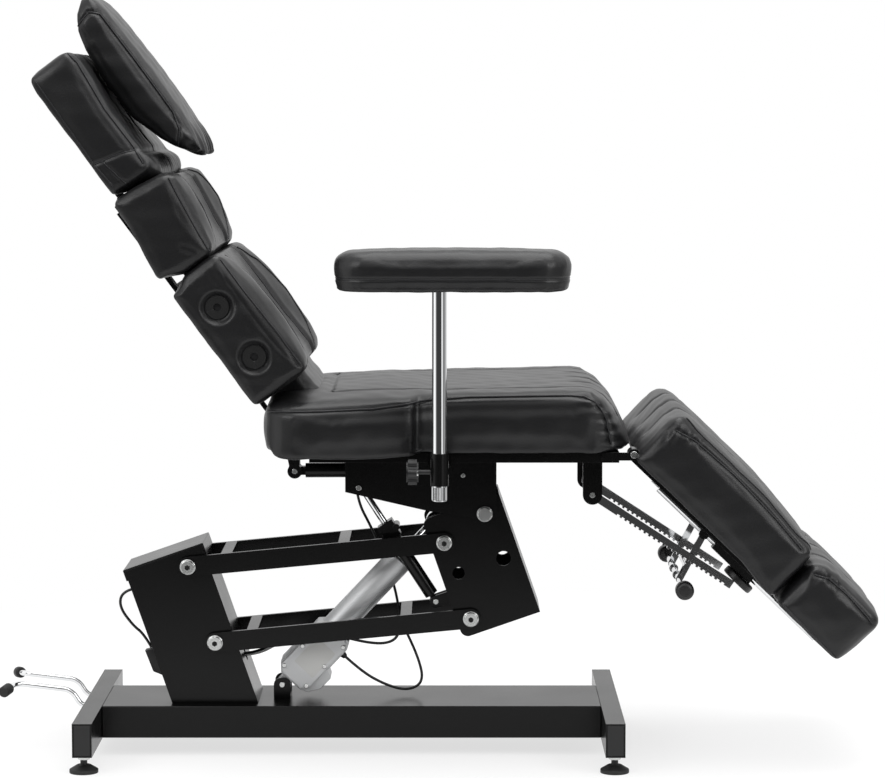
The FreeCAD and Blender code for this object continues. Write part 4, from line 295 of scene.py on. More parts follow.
def rearPlug():
    # the moulded plug on the tower's rear wall, wedge shaped, its wall side leaning with the tower
    bm = bmesh.new()
    bmesh.ops.create_cube(bm, size=1)
    for v in bm.verts:
        x, z = plug["corners"][(1 if v.co.x > 0 else -1, 1 if v.co.z > 0 else -1)]
        v.co = Vector((x, plug["middle"] + (plug["width"] / 2) * (1 if v.co.y > 0 else -1), z)) * mm
    bmesh.ops.bevel(bm, geom=list(bm.edges), offset=plug["round"] * mm, segments=3, profile=0.5,
                    affect="EDGES", material=-1)
    bmesh.ops.recalc_face_normals(bm, faces=bm.faces)
    return shown("rearPlug", meshFrom(bm, "rearPlug", True), blackPlastic, "root")


cable("rearLead", "rear_lead", leads["rear"], 0.005, cableSheath,
      [rearPlug()])
cable("motorConduit", "motor_conduit", leads["conduit"], 0.006, greySleeve)
cable("motorLead", "motor_lead", leads["motor"], 0.005, cableSheath)
cable("seatLead", "seat_lead", leads["seat"], 0.005, cableSheath,
      [gland("seatLeadGlandLow", leads["seat"][0], leads["seat"][1], 0.007, 0.01),
       gland("seatLeadGlandHigh", leads["seat"][-1], leads["seat"][-2], 0.007, 0.01)])
print("cables laid")


# Rigid pieces

def islands(bm):
    # the loose parts of a mesh, each as a list of faces
    bm.faces.ensure_lookup_table()
    seen = set()
    found = []
    for face in bm.faces:
        if face.index in seen:
            continue
        stack, part = [face], []
        seen.add(face.index)
        while stack:
            current = stack.pop()
            part.append(current)
            for edge in current.edges:
                for near in edge.link_faces:
                    if near.index not in seen:
                        seen.add(near.index)
                        stack.append(near)
        found.append(part)
    return found


def partBox(part):
    points = [v.co for f in part for v in f.verts]
    low = Vector([min(p[i] for p in points) for i in range(3)])
    high = Vector([max(p[i] for p in points) for i in range(3)])
    return low, high


def dressed(node, body, materials, choose=None, edge=0.8, angle=30, paint=None):
    # a copy of a CAD node with softened edges; choose picks a loose part's material, paint a face's
    mesh = nodes[node].data.copy()
    mesh.materials.clear()
    for material in materials:
        mesh.materials.append(material)
    bm = bmesh.new()
    bm.from_mesh(mesh)
    bmesh.ops.remove_doubles(bm, verts=bm.verts, dist=1e-6)
    bmesh.ops.dissolve_limit(bm, angle_limit=math.radians(0.5), verts=bm.verts, edges=bm.edges)
    bm.faces.index_update()
    for part in islands(bm):
        index = choose(*partBox(part)) if choose else 0
        for face in part:
            face.material_index = paint(face.calc_center_median() / mm) if paint else index
            face.smooth = True
    for line in bm.edges:
        line.smooth = len(line.link_faces) != 2 or line.calc_face_angle(0) < math.radians(angle)
    bm.to_mesh(mesh)
    bm.free()
    obj = shown(node + "Skin", mesh, None, body)
    if edge:
        bevel = obj.modifiers.new("edges", "BEVEL")
        bevel.width = edge * mm
        bevel.segments = 2
        bevel.limit_method = "ANGLE"
        bevel.angle_limit = math.radians(angle)
        bevel.harden_normals = False
        bevel.use_clamp_overlap = True
    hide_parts(node)
    return obj


backFrame = Matrix.Translation(Vector((-274, 0, 548)) * mm) @ Matrix.Rotation(math.radians(53.5), 4, "Y")
legFrame = Matrix.Translation(Vector((325, 0, 556)) * mm) @ Matrix.Rotation(math.radians(43.8), 4, "Y")
gearFrame = Matrix.Translation(Vector((-290, 0, 115)) * mm) @ Matrix.Rotation(math.radians(-46.59), 4, "Y")
seatFrame = Matrix.Identity(4)

finishes = {"black_paint": blackPaint, "black_plastic": blackPlastic, "zinc": zincPlate, "cast": castMetal,
            "silver_tube": anodised, "chrome": chromePlate}
dressing = [
    # node, body, slot, edge
    ("base_beam", "root", "black_paint", 1.5),
    ("rear_cross_foot", "root", "black_paint", 2.5),
    ("front_cross_foot", "root", "black_paint", 2.5),
    ("tower", "root", "black_paint", 2.0),
    ("tower_cover", "root", "black_paint", 1.0),
    ("control_box", "root", "black_plastic", 2.0),
    ("base_pins", "root", "zinc", 0.8),
    ("actuator_clevis", "root", "black_paint", 0.8),
    ("pedal_bearings", "root", "black_plastic", 0.8),
    ("lower_link_frame", "lower_links", "black_paint", 0.8),
    ("upper_link_frame", "upper_links", "black_paint", 0.8),
    ("column", "column", "black_paint", 0.8),
    ("column_pins", "column", "zinc", 0.8),
    ("gearbox_housing", "lift_actuator", "cast", 2.0),
    ("lift_motor", "lift_actuator", "black_plastic", 2.0),
    ("lift_tube", "lift_actuator", "silver_tube", 0.8),
    ("lift_rod", "lift_rod", "chrome", 0.8),
    ("tilt_cylinder", "tilt_cylinder", "black_paint", 0.8),
    ("tilt_rod", "tilt_rod", "chrome", 0.6),
    ("seat_carrier", "seat", "black_paint", 0.8),
    ("seat_pins", "seat", "zinc", 0.6),
    ("seat_frame", "seat", "black_paint", 0.8),
    ("seat_brackets", "seat", "black_paint", 0.6),
    ("back_frame", "back", "black_paint", 0.6),
    ("back_pins", "back", "zinc", 0.6),
    ("back_cylinder", "back_cylinder", "black_paint", 0.8),
    ("back_rod", "back_rod", "chrome", 0.6),
    ("leg_frame", "leg", "black_paint", 0.6),
    ("slide_guides", "leg", "black_paint", 0.6),
    ("ratchet_racks", "racks", "chrome", 0.25),
    ("extension_knob", "extension_knob", "black_plastic", 0.8),
    ("arm_post_right", "arm_post_right", "chrome", 0.8),
]
for node, body, slot, edge in dressing:
    dressed(node, body, [finishes[slot]], edge=edge)
for end in ("rear", "front"):
    for hand in ("right", "left"):
        dressed("levelling_foot_%s_%s" % (end, hand), "foot_%s_%s" % (end, hand),
                [blackRubber], edge=0.8)

intoLeg = legFrame.inverted()
intoBack = backFrame.inverted()
sockets = {"along": (170, 275), "rise": 66, "bore": 7}
# sizes in metres that tell one loose part of a node from another, and the knob's screw in millimetres
parting = {"padTop": 0.0315, "coverScrew": 0.02, "pedalCap": 0.06, "catchKnob": 0.07, "headBoard": 0.4,
           "rodPlate": 0.3795}
knobScrew = {"x": -41, "z": 536, "radius": 5}


def socketShadePaint(spot):
    # the bore's wall and floor are painted near-black: painted shade for the shadow they lie in
    place = intoBack @ (spot * mm) / mm
    reach = min(math.hypot(place.x + along, place.z - sockets["rise"]) for along in sockets["along"])
    return 1 if reach < sockets["bore"] else 0


def knobPaint(spot):
    reach = math.hypot(spot.x - knobScrew["x"], spot.z - knobScrew["z"])
    return 1 if reach < knobScrew["radius"] else 0


# faces inside the socket bores get the painted shade material
dressed("accessory_sockets", "back", [blackPlastic, paintedRecessShade], paint=socketShadePaint, edge=1.0)
dressed("foot_fittings", "root", [blackPlastic, zincPlate],
        lambda low, high: 1 if high.z < parting["padTop"] else 0, edge=0.8)
dressed("gearbox_cover", "lift_actuator", [castMetal, zincPlate],
        lambda low, high: 1 if (high - low).length < parting["coverScrew"] else 0, edge=0.8)
dressed("pedal", "pedal", [chromePlate, blackRubber],
        lambda low, high: 1 if (high - low).length < parting["pedalCap"] else 0, edge=0)
dressed("catch_handle", "catch", [chromePlate, blackPlastic],
        lambda low, high: 1 if (high - low).length < parting["catchKnob"] else 0, edge=0)
dressed("head_frame", "head", [blackPaint, boardWrap],
        lambda low, high: 1 if (high - low).y > parting["headBoard"] else 0, edge=0.8)
dressed("extension_rods", "extension", [chromePlate, blackPaint],
        paint=lambda spot: 1 if (intoLeg @ (spot * mm)).x > parting["rodPlate"] else 0, edge=0.5)
dressed("arm_knob_right", "arm_knob_right", [blackPlastic, zincPlate], paint=knobPaint,
        edge=1.2)
print("rigid pieces dressed")


# Small fittings that the solids leave out

label = {"low": (48, 0, -31), "high": (108, 0, 15), "face": -38.05, "thick": 0.5, "corner": 3}
knurl = {"place": (-7, -340, 489), "high": 22, "radius": 12.9, "teeth": 56, "depth": 0.55}


def labelPlate():
    # the bare film where the gearbox carries its data plate
    bm = bmesh.new()
    bmesh.ops.create_cube(bm, size=1)
    low, high = label["low"], label["high"]
    bmesh.ops.scale(bm, vec=(high[0] - low[0], label["thick"], high[2] - low[2]), verts=bm.verts)
    upright = [e for e in bm.edges if abs(e.verts[0].co.y - e.verts[1].co.y) > label["thick"] * 0.9]
    bmesh.ops.bevel(bm, geom=upright, offset=label["corner"], segments=5, profile=0.5, affect="EDGES",
                    material=-1)
    middle = ((low[0] + high[0]) / 2, label["face"], (low[2] + high[2]) / 2)
    bmesh.ops.translate(bm, vec=middle, verts=bm.verts)
    bmesh.ops.scale(bm, vec=(mm, mm, mm), verts=bm.verts)
    bmesh.ops.transform(bm, matrix=gearFrame, verts=bm.verts)
    shown("labelPlate", meshFrom(bm, "labelPlate"), labelFilm, "lift_actuator")


bolts = {"across": 10, "socket": 0.5, "ringInner": 7.6, "ringOuter": 9.2, "ringHigh": 0.7, "reach": 25,
         "places": [("base_pins", "root", -453.4, 336), ("base_pins", "root", -406, 200),
                    ("column_pins", "column", 0.6, 378.9), ("column_pins", "column", 48, 242.9)]}


def boltFaces():
    # the hexagon socket and the turned ring on the heads of the four big pivot bolts, on both sides
    for number, (pins, body, x, z) in enumerate(bolts["places"]):
        heads = [v.co / mm for v in nodes[pins].data.vertices
                 if math.hypot(v.co.x / mm - x, v.co.z / mm - z) < bolts["reach"]]
        for hand, sign in (("Right", -1), ("Left", 1)):
            face = max(v.y * sign for v in heads) * sign
            bm = bmesh.new()
            home = Matrix.Translation((x, face, z)) @ Matrix.Rotation(math.radians(90) * -sign, 4, "X")
            bmesh.ops.create_cone(bm, cap_ends=True, segments=6, radius1=bolts["across"] / 2,
                                  radius2=bolts["across"] / 2, depth=bolts["socket"], matrix=home)
            # the hexagon socket is a thin near-black disc on the head: painted shade where the socket's
            # hollow lies
            for part in bm.faces:
                part.material_index = 1
            rings = []
            for radius, high in ((bolts["ringInner"], 0), (bolts["ringInner"], bolts["ringHigh"]),
                                 (bolts["ringOuter"], bolts["ringHigh"]), (bolts["ringOuter"], 0)):
                rings.append([bm.verts.new(home @ Vector((radius * math.cos(t), radius * math.sin(t), high)))
                              for t in np.linspace(0, 2 * math.pi, 40, endpoint=False)])
            for inner, outer in zip(rings, rings[1:] + rings[:1]):
                for k in range(40):
                    bm.faces.new((inner[k], inner[(k + 1) % 40], outer[(k + 1) % 40], outer[k]))
            bmesh.ops.recalc_face_normals(bm, faces=bm.faces)
            bmesh.ops.scale(bm, vec=(mm, mm, mm), verts=bm.verts)
            obj = shown("boltFace%d%s" % (number, hand), meshFrom(bm, "boltFace"), zincPlate, body)
            obj.data.materials.append(paintedRecessShade)


def knurledEnd():
    # the gripped lower end of the armrest post, below its sleeve
    bm = bmesh.new()
    ring = bmesh.ops.create_circle(bm, cap_ends=True, segments=knurl["teeth"] * 2,
                                   radius=knurl["radius"])["verts"]
    for number, v in enumerate(ring):
        if number % 2:
            v.co *= 1 - knurl["depth"] / knurl["radius"]
    raised = bmesh.ops.extrude_face_region(bm, geom=list(bm.faces))["geom"]
    top = [g for g in raised if isinstance(g, bmesh.types.BMVert)]
    bmesh.ops.translate(bm, vec=(0, 0, knurl["high"]), verts=top)
    bmesh.ops.translate(bm, vec=knurl["place"], verts=bm.verts)
    bmesh.ops.scale(bm, vec=(mm, mm, mm), verts=bm.verts)
    bmesh.ops.recalc_face_normals(bm, faces=bm.faces)
    shown("postKnurl", meshFrom(bm, "postKnurl"), chromePlate, "arm_post_right")


labelPlate()
knurledEnd()
boltFaces()


# Padded pieces

def padBlock(low, high, corner, topEdge, bottomEdge):
    # a block with round upright corners and softened rims, in millimetres
    bm = bmesh.new()
    bmesh.ops.create_cube(bm, size=1)
    size = [high[i] - low[i] for i in range(3)]
    bmesh.ops.scale(bm, vec=size, verts=bm.verts)
    bmesh.ops.translate(bm, vec=[(high[i] + low[i]) / 2 for i in range(3)], verts=bm.verts)
    upright = [e for e in bm.edges if abs(e.verts[0].co.z - e.verts[1].co.z) > size[2] * 0.9]
    bmesh.ops.bevel(bm, geom=upright, offset=corner, segments=6, profile=0.5, affect="EDGES", material=-1)
    for level, offset in ((high[2], topEdge), (low[2], bottomEdge)):
        rim = [e for e in bm.edges if all(abs(v.co.z - level) < 0.01 for v in e.verts)]
        bmesh.ops.bevel(bm, geom=rim, offset=offset, segments=4, profile=0.5, affect="EDGES", material=-1)
    return meshFrom(bm, "padBlock")


def coordinates(mesh):
    flat = np.zeros(len(mesh.vertices) * 3)
    mesh.vertices.foreach_get("co", flat)
    return flat.reshape(-1, 3)


def normalsOf(mesh):
    flat = np.zeros(len(mesh.vertices) * 3)
    mesh.vertices.foreach_get("normal", flat)
    return flat.reshape(-1, 3)


def setCoordinates(mesh, points):
    mesh.vertices.foreach_set("co", np.asarray(points, np.float32).ravel())
    mesh.update()


def applied(obj):
    graph = bpy.context.evaluated_depsgraph_get()
    mesh = bpy.data.meshes.new_from_object(obj.evaluated_get(graph))
    obj.modifiers.clear()
    obj.data = mesh
    return mesh


def swollen(mesh, voxel, pressure, cap, floor):
    # remeshes a block in metres, blows it up as cloth and caps how far a point may go
    obj = placed("swelling", mesh)
    remesh = obj.modifiers.new("voxels", "REMESH")
    remesh.mode = "VOXEL"
    remesh.voxel_size = voxel * mm
    mesh = applied(obj)
    before = coordinates(mesh)
    cloth = obj.modifiers.new("cloth", "CLOTH")
    cloth.settings.quality = 4
    cloth.settings.mass = 0.3
    cloth.settings.tension_stiffness = 18
    cloth.settings.compression_stiffness = 18
    cloth.settings.bending_stiffness = 0.6
    cloth.settings.use_pressure = True
    cloth.settings.uniform_pressure_force = pressure
    cloth.settings.effector_weights.gravity = 0
    cloth.collision_settings.use_collision = False
    scene = bpy.context.scene
    for number in range(1, 13):
        scene.frame_set(number)
    mesh = applied(obj)
    scene.frame_set(1)
    moved = coordinates(mesh) - before
    far = np.linalg.norm(moved, axis=1, keepdims=True)
    moved *= np.minimum(1, cap * mm / np.maximum(far, 1e-9))
    after = before + moved
    after[:, 2] = np.maximum(after[:, 2], floor * mm)
    setCoordinates(mesh, after)
    finer = obj.modifiers.new("finer", "SUBSURF")
    finer.levels = finer.render_levels = 1
    mesh = applied(obj)
    bpy.data.objects.remove(obj)
    return mesh


def ramp(value, start, end):
    # 0 below start, 1 above end, smooth between
    share = np.clip((value - start) / (end - start), 0, 1)
    return share * share * (3 - 2 * share)


def heightShare(p, box):
    # 0 on a pad's underside, 1 on its face
    return np.clip((p[:, 2] - box["low"][2]) / (box["high"][2] - box["low"][2]), 0, 1)


def valley(distance, width):
    return np.exp(-(distance / width) ** 2)


def ripple(points, seed, period):
    # a smooth repeatable unevenness from a few crossed waves, between -1 and 1
    shift = np.array([1.3, 2.1, 0.7]) * seed
    total = np.zeros(len(points))
    for index, (a, b, c) in enumerate(((1, 0.6, 0.2), (-0.5, 1, 0.4), (0.3, -0.7, 1), (0.9, 0.8, -0.6))):
        turns = (points @ np.array([a, b, c])) * 2 * math.pi / period * (1 + 0.37 * index)
        total += np.sin(turns + shift[index % 3] * (index + 1))
    return total / 4


def awayFrom(u, w, line):
    # how far points in a flat view lie from a drawn line
    nearest = np.full(len(u), 1e9)
    for a, b in zip(line, line[1:]):
        span = (b[0] - a[0], b[1] - a[1])
        share = np.clip(((u - a[0]) * span[0] + (w - a[1]) * span[1]) / (span[0] ** 2 + span[1] ** 2), 0, 1)
        nearest = np.minimum(nearest, np.hypot(u - a[0] - share * span[0], w - a[1] - share * span[1]))
    return nearest


def level(x, profile):
    return np.interp(x, [p[0] for p in profile], [p[1] for p in profile])


def pad(name, node, body, home, settings, shape, detail, fill=0.8, extra=(), material=None):
    # one padded piece: block, swelling, back into its box, its shape, then the sewn detail, in millimetres
    low, high = np.array(settings["low"], float), np.array(settings["high"], float)
    block = padBlock(settings["low"], settings["high"], settings["corner"], settings["topEdge"],
                     settings["bottomEdge"])
    block.transform(Matrix.Scale(mm, 4))
    mesh = swollen(block, settings["voxel"], settings["pressure"], settings["cap"], settings["low"][2])
    points = coordinates(mesh) / mm
    least, most = points.min(axis=0), points.max(axis=0)
    points = low + (points - least) / (most - least) * (high - low)
    points = shape(points)
    setCoordinates(mesh, points * mm)
    points = detail(points, normalsOf(mesh))
    setCoordinates(mesh, points * mm)
    mesh.polygons.foreach_set("use_smooth", [True] * len(mesh.polygons))
    mesh.materials.append(material or vinylPanel)
    mesh.materials.append(boardWrap)
    facing = np.zeros(len(mesh.polygons) * 3)
    mesh.polygons.foreach_get("normal", facing)
    below = facing.reshape(-1, 3)[:, 2] < -0.8
    mesh.polygons.foreach_set("material_index", below.astype(int))
    mesh.transform(home)
    obj = shown(name, mesh, None, body)
    if node:
        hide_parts(node, *extra)
    return obj


surfaces = {}


def weltLine(name, pad, home, path, radius, body, material=None, closed=False, lift=0.0):
    # a sewn seam: a thin tube on a pad, each point of path dropped on the surface along its ray
    if pad.name not in surfaces:
        surfaces[pad.name] = BVHTree.FromObject(pad, bpy.context.evaluated_depsgraph_get())
    tree = surfaces[pad.name]
    spots = []
    for point, direction in path:
        start = home @ (Vector(point) * mm)
        ray = (home.to_3x3() @ Vector(direction)).normalized()
        hit, normal, index, distance = tree.ray_cast(start, ray)
        if hit is not None:
            spots.append(hit + normal * lift * mm)
    if len(spots) < 4:
        print("no seam on", name)
        return None
    curve = bpy.data.curves.new(name, "CURVE")
    curve.dimensions = "3D"
    line = curve.splines.new("POLY")
    line.points.add(len(spots) - 1)
    for slotPoint, spot in zip(line.points, spots):
        slotPoint.co = (*spot, 1)
    line.use_cyclic_u = closed
    curve.bevel_depth = radius * mm
    curve.bevel_resolution = 1
    curve.use_fill_caps = True
    obj = placed(name, curve)
    graph = bpy.context.evaluated_depsgraph_get()
    mesh = bpy.data.meshes.new_from_object(obj.evaluated_get(graph))
    bpy.data.objects.remove(obj)
    mesh.polygons.foreach_set("use_smooth", [True] * len(mesh.polygons))
    return shown(name, mesh, material or weltVinyl, body)


def along(line, steps):
    # even steps along a drawn line of points
    line = [np.array(p, float) for p in line]
    lengths = [np.linalg.norm(b - a) for a, b in zip(line, line[1:])]
    total = sum(lengths)
    spots = []
    for index in range(steps + 1):
        want = total * index / steps
        for a, b, length in zip(line, line[1:], lengths):
            if want <= length + 1e-6:
                spots.append(tuple(a + (b - a) * (want / length)))
                break
            want -= length
    return spots


def sideWelts(name, pad, home, body, line, radius=1.6, steps=60, lift=0.2):
    # the same seam on both sides of a pad, drawn as seen from the side
    for hand, sign in (("Right", -1), ("Left", 1)):
        path = [((u, sign * 400, w), (0, -sign, 0)) for u, w in along(line, steps)]
        weltLine(name + hand, pad, home, path, radius, body, lift=lift)


def topWelts(name, pad, home, body, line, radius=1.6, steps=60, lift=0.2, drop=(0, 0, -1)):
    # the same seam on both halves of a pad, drawn as seen from above: along and across
    for hand, sign in (("Right", -1), ("Left", 1)):
        path = [((u, sign * v, 1000 if home is seatFrame else 300), drop) for u, v in along(line, steps)]
        weltLine(name + hand, pad, home, path, radius, body, lift=lift)


# Seat

seat = {"low": (-309, -294, 560.4), "high": (321, 294, 650), "corner": 60, "topEdge": 18,
        "bottomEdge": 7, "voxel": 6.5, "pressure": 4, "cap": 2.2,
        "rim": [(-309, 640), (-209, 646), (-104, 652), (-70, 654), (-45, 657), (20, 661), (63, 662),
                (155, 663), (205, 665), (236, 665), (258, 662), (276, 652), (292, 634), (306, 607),
                (321, 576)],
        "seam": [(-306, 631), (-209, 633), (-120, 637), (-60, 645), (-20, 651), (40, 655), (155, 657),
                 (215, 658), (240, 656), (260, 646), (276, 622), (286, 574)]}


def seatShape(p):
    x, y, z = p[:, 0].copy(), p[:, 1].copy(), p[:, 2].copy()
    up = heightShare(p, seat)
    # the front is narrower than the rear lobe, with a waist where they meet
    front = ramp(x, -60, -20)
    waist = valley(x + 40, 17)
    y *= 1 - front * 0.058 - waist * 0.036
    share = np.clip(np.abs(y) / 285, 0, 1)
    rim = level(x, seat["rim"])
    crown = (3 + 13 * (1 - ramp(x, -120, 20))) * (1 - share ** 3) * (1 - ramp(x, 250, 315))
    z = seat["low"][2] + up * (rim + crown - seat["low"][2])
    # the wrapped side hangs below the board, lower at the rear
    z -= (1 - up) * ramp(np.abs(y), 255, 275) * (5 + 6 * (1 - ramp(x, -140, -40)))
    # in plan the nose is bowed, so the near corner stands back from the middle
    x = x + up * 7 * ramp(x, 240, 320) - 24 * share ** 3.5 * ramp(x, 210, 320)
    return np.stack([x, y, z], 1)


def seatDetail(p, n):
    x, y, z = p[:, 0], p[:, 1], p[:, 2]
    top = np.clip(n[:, 2], 0, 1)
    side = np.abs(n[:, 1])
    move = np.zeros(len(p))
    # the crease of the waist down each side
    move -= 10 * valley(x + 42, 7) * side * ramp(np.abs(y), 200, 240)
    move -= 3 * valley(x + 42, 22) * ramp(np.abs(y), 215, 262) * top
    # soft belly of each side
    move += 4 * valley(x + 150, 66) * valley(z - 605, 30) * side
    move += 3 * valley(x - 130, 90) * valley(z - 610, 34) * side
    move -= 3 * valley(awayFrom(x, z, seat["seam"]), 4) * side
    # the middle panel's seams, and its channels over the nose
    for line in (-190, 190):
        move -= 4 * valley(y - line, 4.5) * top * ramp(x, -205, -180)
    for line in (-95, 0, 95):
        move -= 5 * valley(y - line, 7) * ramp(x, 205, 255) * ramp(z, 565, 590)
    # gathers where the side panel meets the nose
    corner = valley(awayFrom(x, z, [(246, 652), (276, 622), (288, 575)]), 15) * ramp(np.abs(y), 190, 235)
    move += 1.7 * np.sin(z / 3.1) * corner
    # fold marks where the tongue comes down on the rear
    move -= 4 * valley(awayFrom(x, y, [(-196, -170), (-196, 170)]), 7) * top
    move += 0.9 * ripple(p, 3, 95)
    return p + n * move[:, None]


print("seat pad")
seatPad = pad("seatPad", "seat_cushion", "seat", seatFrame, seat, seatShape, seatDetail, 0.85,
              extra=("seat_board",))
sideWelts("seatSideWelt", seatPad, seatFrame, "seat", seat["seam"], 1.8, 90, 0.3)
topWelts("seatTopSeam", seatPad, seatFrame, "seat", [(-196, 168), (-190, 188), (255, 190), (300, 186)],
         1.5, 80)


# Lumbar block

lumbar = {"low": (-353, -270, 21), "high": (-97, 270, 122), "corner": 12, "topEdge": 12,
          "bottomEdge": 5, "voxel": 5, "pressure": 4, "cap": 1.4,
          "seam": [(336, 119), (275, 119), (181, 122), (114, 121)]}


def bolstered(p, n, ridge, sides, low, high, centre, peak, recess):
    # crescent bolsters on both sides of a recessed middle panel: low and high are along the back
    s, y = -p[:, 0], np.abs(p[:, 1])
    front = np.clip(n[:, 2], 0, 1) ** 0.7
    middle = (low + high) / 2
    share = np.clip(1 - np.abs((s - middle) / ((high - low) / 2)) ** 2.2, 0, 1)
    hump = peak * share * valley(y - ridge, sides)
    hollow = -recess * (1 - ramp(y, centre - 16, centre + 6))
    pinch = -5 * valley(y - centre, 5)
    return front * (hump + hollow + pinch)


def lumbarShape(p):
    p = p.copy()
    s = -p[:, 0]
    up = heightShare(p, lumbar)
    # the wrapped edge hangs a little below its board, along the sides only
    p[:, 2] -= (1 - up) * 6 * ramp(np.abs(p[:, 1]), 205, 235)
    p[:, 2] += up * 5 * ramp(p[:, 0], -200, -110)
    # the lower end leans in under its front corner
    p[:, 0] -= (1 - up) * 2 * ramp(p[:, 0], -130, -98)
    # the upper end is drawn in low down, which opens a wedge under the next block
    p[:, 0] += 13 * (1 - ramp(p[:, 2], 24, 60)) * (1 - ramp(p[:, 0], -353, -318))
    return p


def lumbarDetail(p, n):
    move = bolstered(p, n, 212, 46, 92, 350, 150, 21, 7)
    s, y, t = -p[:, 0], np.abs(p[:, 1]), p[:, 2]
    side = np.abs(n[:, 1])
    # the vinyl is drawn in round the sockets, with a faint ring beyond
    for spot in sockets["along"]:
        reach = np.hypot(s - spot, t - sockets["rise"])
        move += side * (0.5 * valley(reach - 36, 8) - 7.4 * (1 - ramp(reach, 22, 31)))
    move += 3.5 * valley(s - 222, 34) * valley(t - 78, 30) * side
    move -= 2.6 * valley(awayFrom(s, t, lumbar["seam"]), 4) * side
    # one long pull between the sockets and the bolster
    move -= 1.2 * valley(awayFrom(s, t, [(330, 92), (250, 100), (190, 86)]), 8) * side
    move += 0.8 * ripple(p, 5, 80)
    return p + n * move[:, None]


print("lumbar pad")
lumbarPad = pad("lumbarPad", "lumbar_cushion", "back", backFrame, lumbar, lumbarShape, lumbarDetail, 0.85,
                extra=("back_boards",))
sideWelts("lumbarSideWelt", lumbarPad, backFrame, "back", [(-s, t) for s, t in lumbar["seam"]], 1.6, 70)
topWelts("lumbarRidgeWelt", lumbarPad, backFrame, "back",
         [(-338, 158), (-300, 190), (-225, 207), (-150, 194), (-104, 160)], 1.5, 70, 0.4)
topWelts("lumbarPanelSeam", lumbarPad, backFrame, "back", [(-346, 150), (-102, 150)], 1.5, 60)


# Tongue from the lumbar block down to the seat

tongue = {"low": (-130, -152, 36), "high": (-20, 152, 109), "corner": 20, "topEdge": 16,
          "bottomEdge": 6, "voxel": 5, "pressure": 4, "cap": 1.2,
          "pivotRise": 548, "lean": 53.5, "seatTop": 646.5}


def tongueShape(p):
    p = p.copy()
    up = heightShare(p, tongue)
    s = -p[:, 0]
    p[:, 2] += up * (4 * (1 - ramp(s, 30, 100)) + 4 * (1 - (p[:, 1] / 152) ** 2))
    # cut along the seat's top, which it rests on
    lean = math.radians(tongue["lean"])
    height = tongue["pivotRise"] + s * math.sin(lean) + p[:, 2] * math.cos(lean)
    short = np.maximum(0, tongue["seatTop"] - height)
    p[:, 0] -= short * math.sin(lean)
    p[:, 2] += short * math.cos(lean)
    return p


def tongueDetail(p, n):
    s, y, t = -p[:, 0], p[:, 1], p[:, 2]
    front = np.clip(n[:, 2], 0, 1)
    # folds run across, deeper towards the seat
    move = -1.6 * valley(awayFrom(s, y, [(70, -150), (62, -60), (66, 40), (58, 150)]), 9) * front
    move -= 1.2 * valley(awayFrom(s, y, [(88, -150), (84, 0), (90, 150)]), 9) * front
    move += 0.4 * ripple(p, 29, 80)
    return p + n * move[:, None]


print("tongue")
backTongue = pad("backTongue", None, None, backFrame, tongue, tongueShape, tongueDetail, 0.5,
                 material=tongueVinyl)
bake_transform(backTongue)


# Upper back block

upper = {"low": (-525, -264, 21), "high": (-352.5, 264, 120), "corner": 12, "topEdge": 12,
         "bottomEdge": 5, "voxel": 5, "pressure": 4, "cap": 1.4,
         "seam": [(500, 131), (470, 126), (399, 116), (360, 112)]}


def upperShape(p):
    p = p.copy()
    up = heightShare(p, upper)
    s = -p[:, 0]
    edge = ramp(np.abs(p[:, 1]), 200, 230)
    p[:, 2] += up * 16 * ramp(s, 370, 515) + (1 - up) * edge * (-8 + 15 * ramp(s, 370, 500))
    # between the hinges the top end is cut off low down, and all of it leans back to its front corner
    p[:, 2] += (1 - up) * 26 * ramp(s, 500, 523) * (1 - edge)
    p[:, 0] += up ** 2 * 16 * ramp(s, 470, 523)
    p[:, 0] -= 15 * (1 - ramp(p[:, 2], 20, 60)) * (1 - ramp(s, 352, 392))
    return p


def upperDetail(p, n):
    move = bolstered(p, n, 206, 46, 350, 522, 148, 17, 6)
    s, t = -p[:, 0], p[:, 2]
    side = np.abs(n[:, 1])
    move += 3.5 * valley(s - 430, 50) * valley(t - 66, 30) * side
    move -= 2.6 * valley(awayFrom(s, t, upper["seam"]), 4) * side
    move -= 2.0 * valley(awayFrom(s, t, [(366, 96), (392, 80)]), 8) * side
    move += 0.8 * ripple(p, 7, 85)
    return p + n * move[:, None]


print("upper back pad")
upperPad = pad("upperBackPad", "upper_back_cushion", "back", backFrame, upper, upperShape, upperDetail, 0.85)
sideWelts("upperSideWelt", upperPad, backFrame, "back", [(-s, t) for s, t in upper["seam"]], 1.6, 60)
topWelts("upperRidgeWelt", upperPad, backFrame, "back",
         [(-505, 160), (-480, 188), (-435, 204), (-390, 190), (-360, 160)], 1.5, 60, 0.4)
topWelts("upperPanelSeam", upperPad, backFrame, "back", [(-508, 148), (-360, 148)], 1.5, 50)


# Head block

head = {"low": (-777, -247, 39), "high": (-525, 247, 119), "corner": 12, "topEdge": 14,
        "bottomEdge": 6, "voxel": 5, "pressure": 4, "cap": 1.4,
        "seam": [(770, 119), (748, 122), (657, 112), (578, 113), (546, 110)]}


def headShape(p):
    p = p.copy()
    up = heightShare(p, head)
    s = -p[:, 0]
    p[:, 2] += up * (9 * ramp(s, 640, 750) + 4 * (1 - ramp(s, 540, 600)))
    p[:, 2] -= (1 - up) * 4 * ramp(np.abs(p[:, 1]), 190, 225) * (1 - ramp(s, 740, 775))
    p[:, 0] += 14 * up * (1 - ramp(s, 530, 585)) * (1 - ramp(np.abs(p[:, 1]), 196, 240))
    p[:, 0] += (1 - up) * -3 * (1 - ramp(s, 525, 560))
    return p


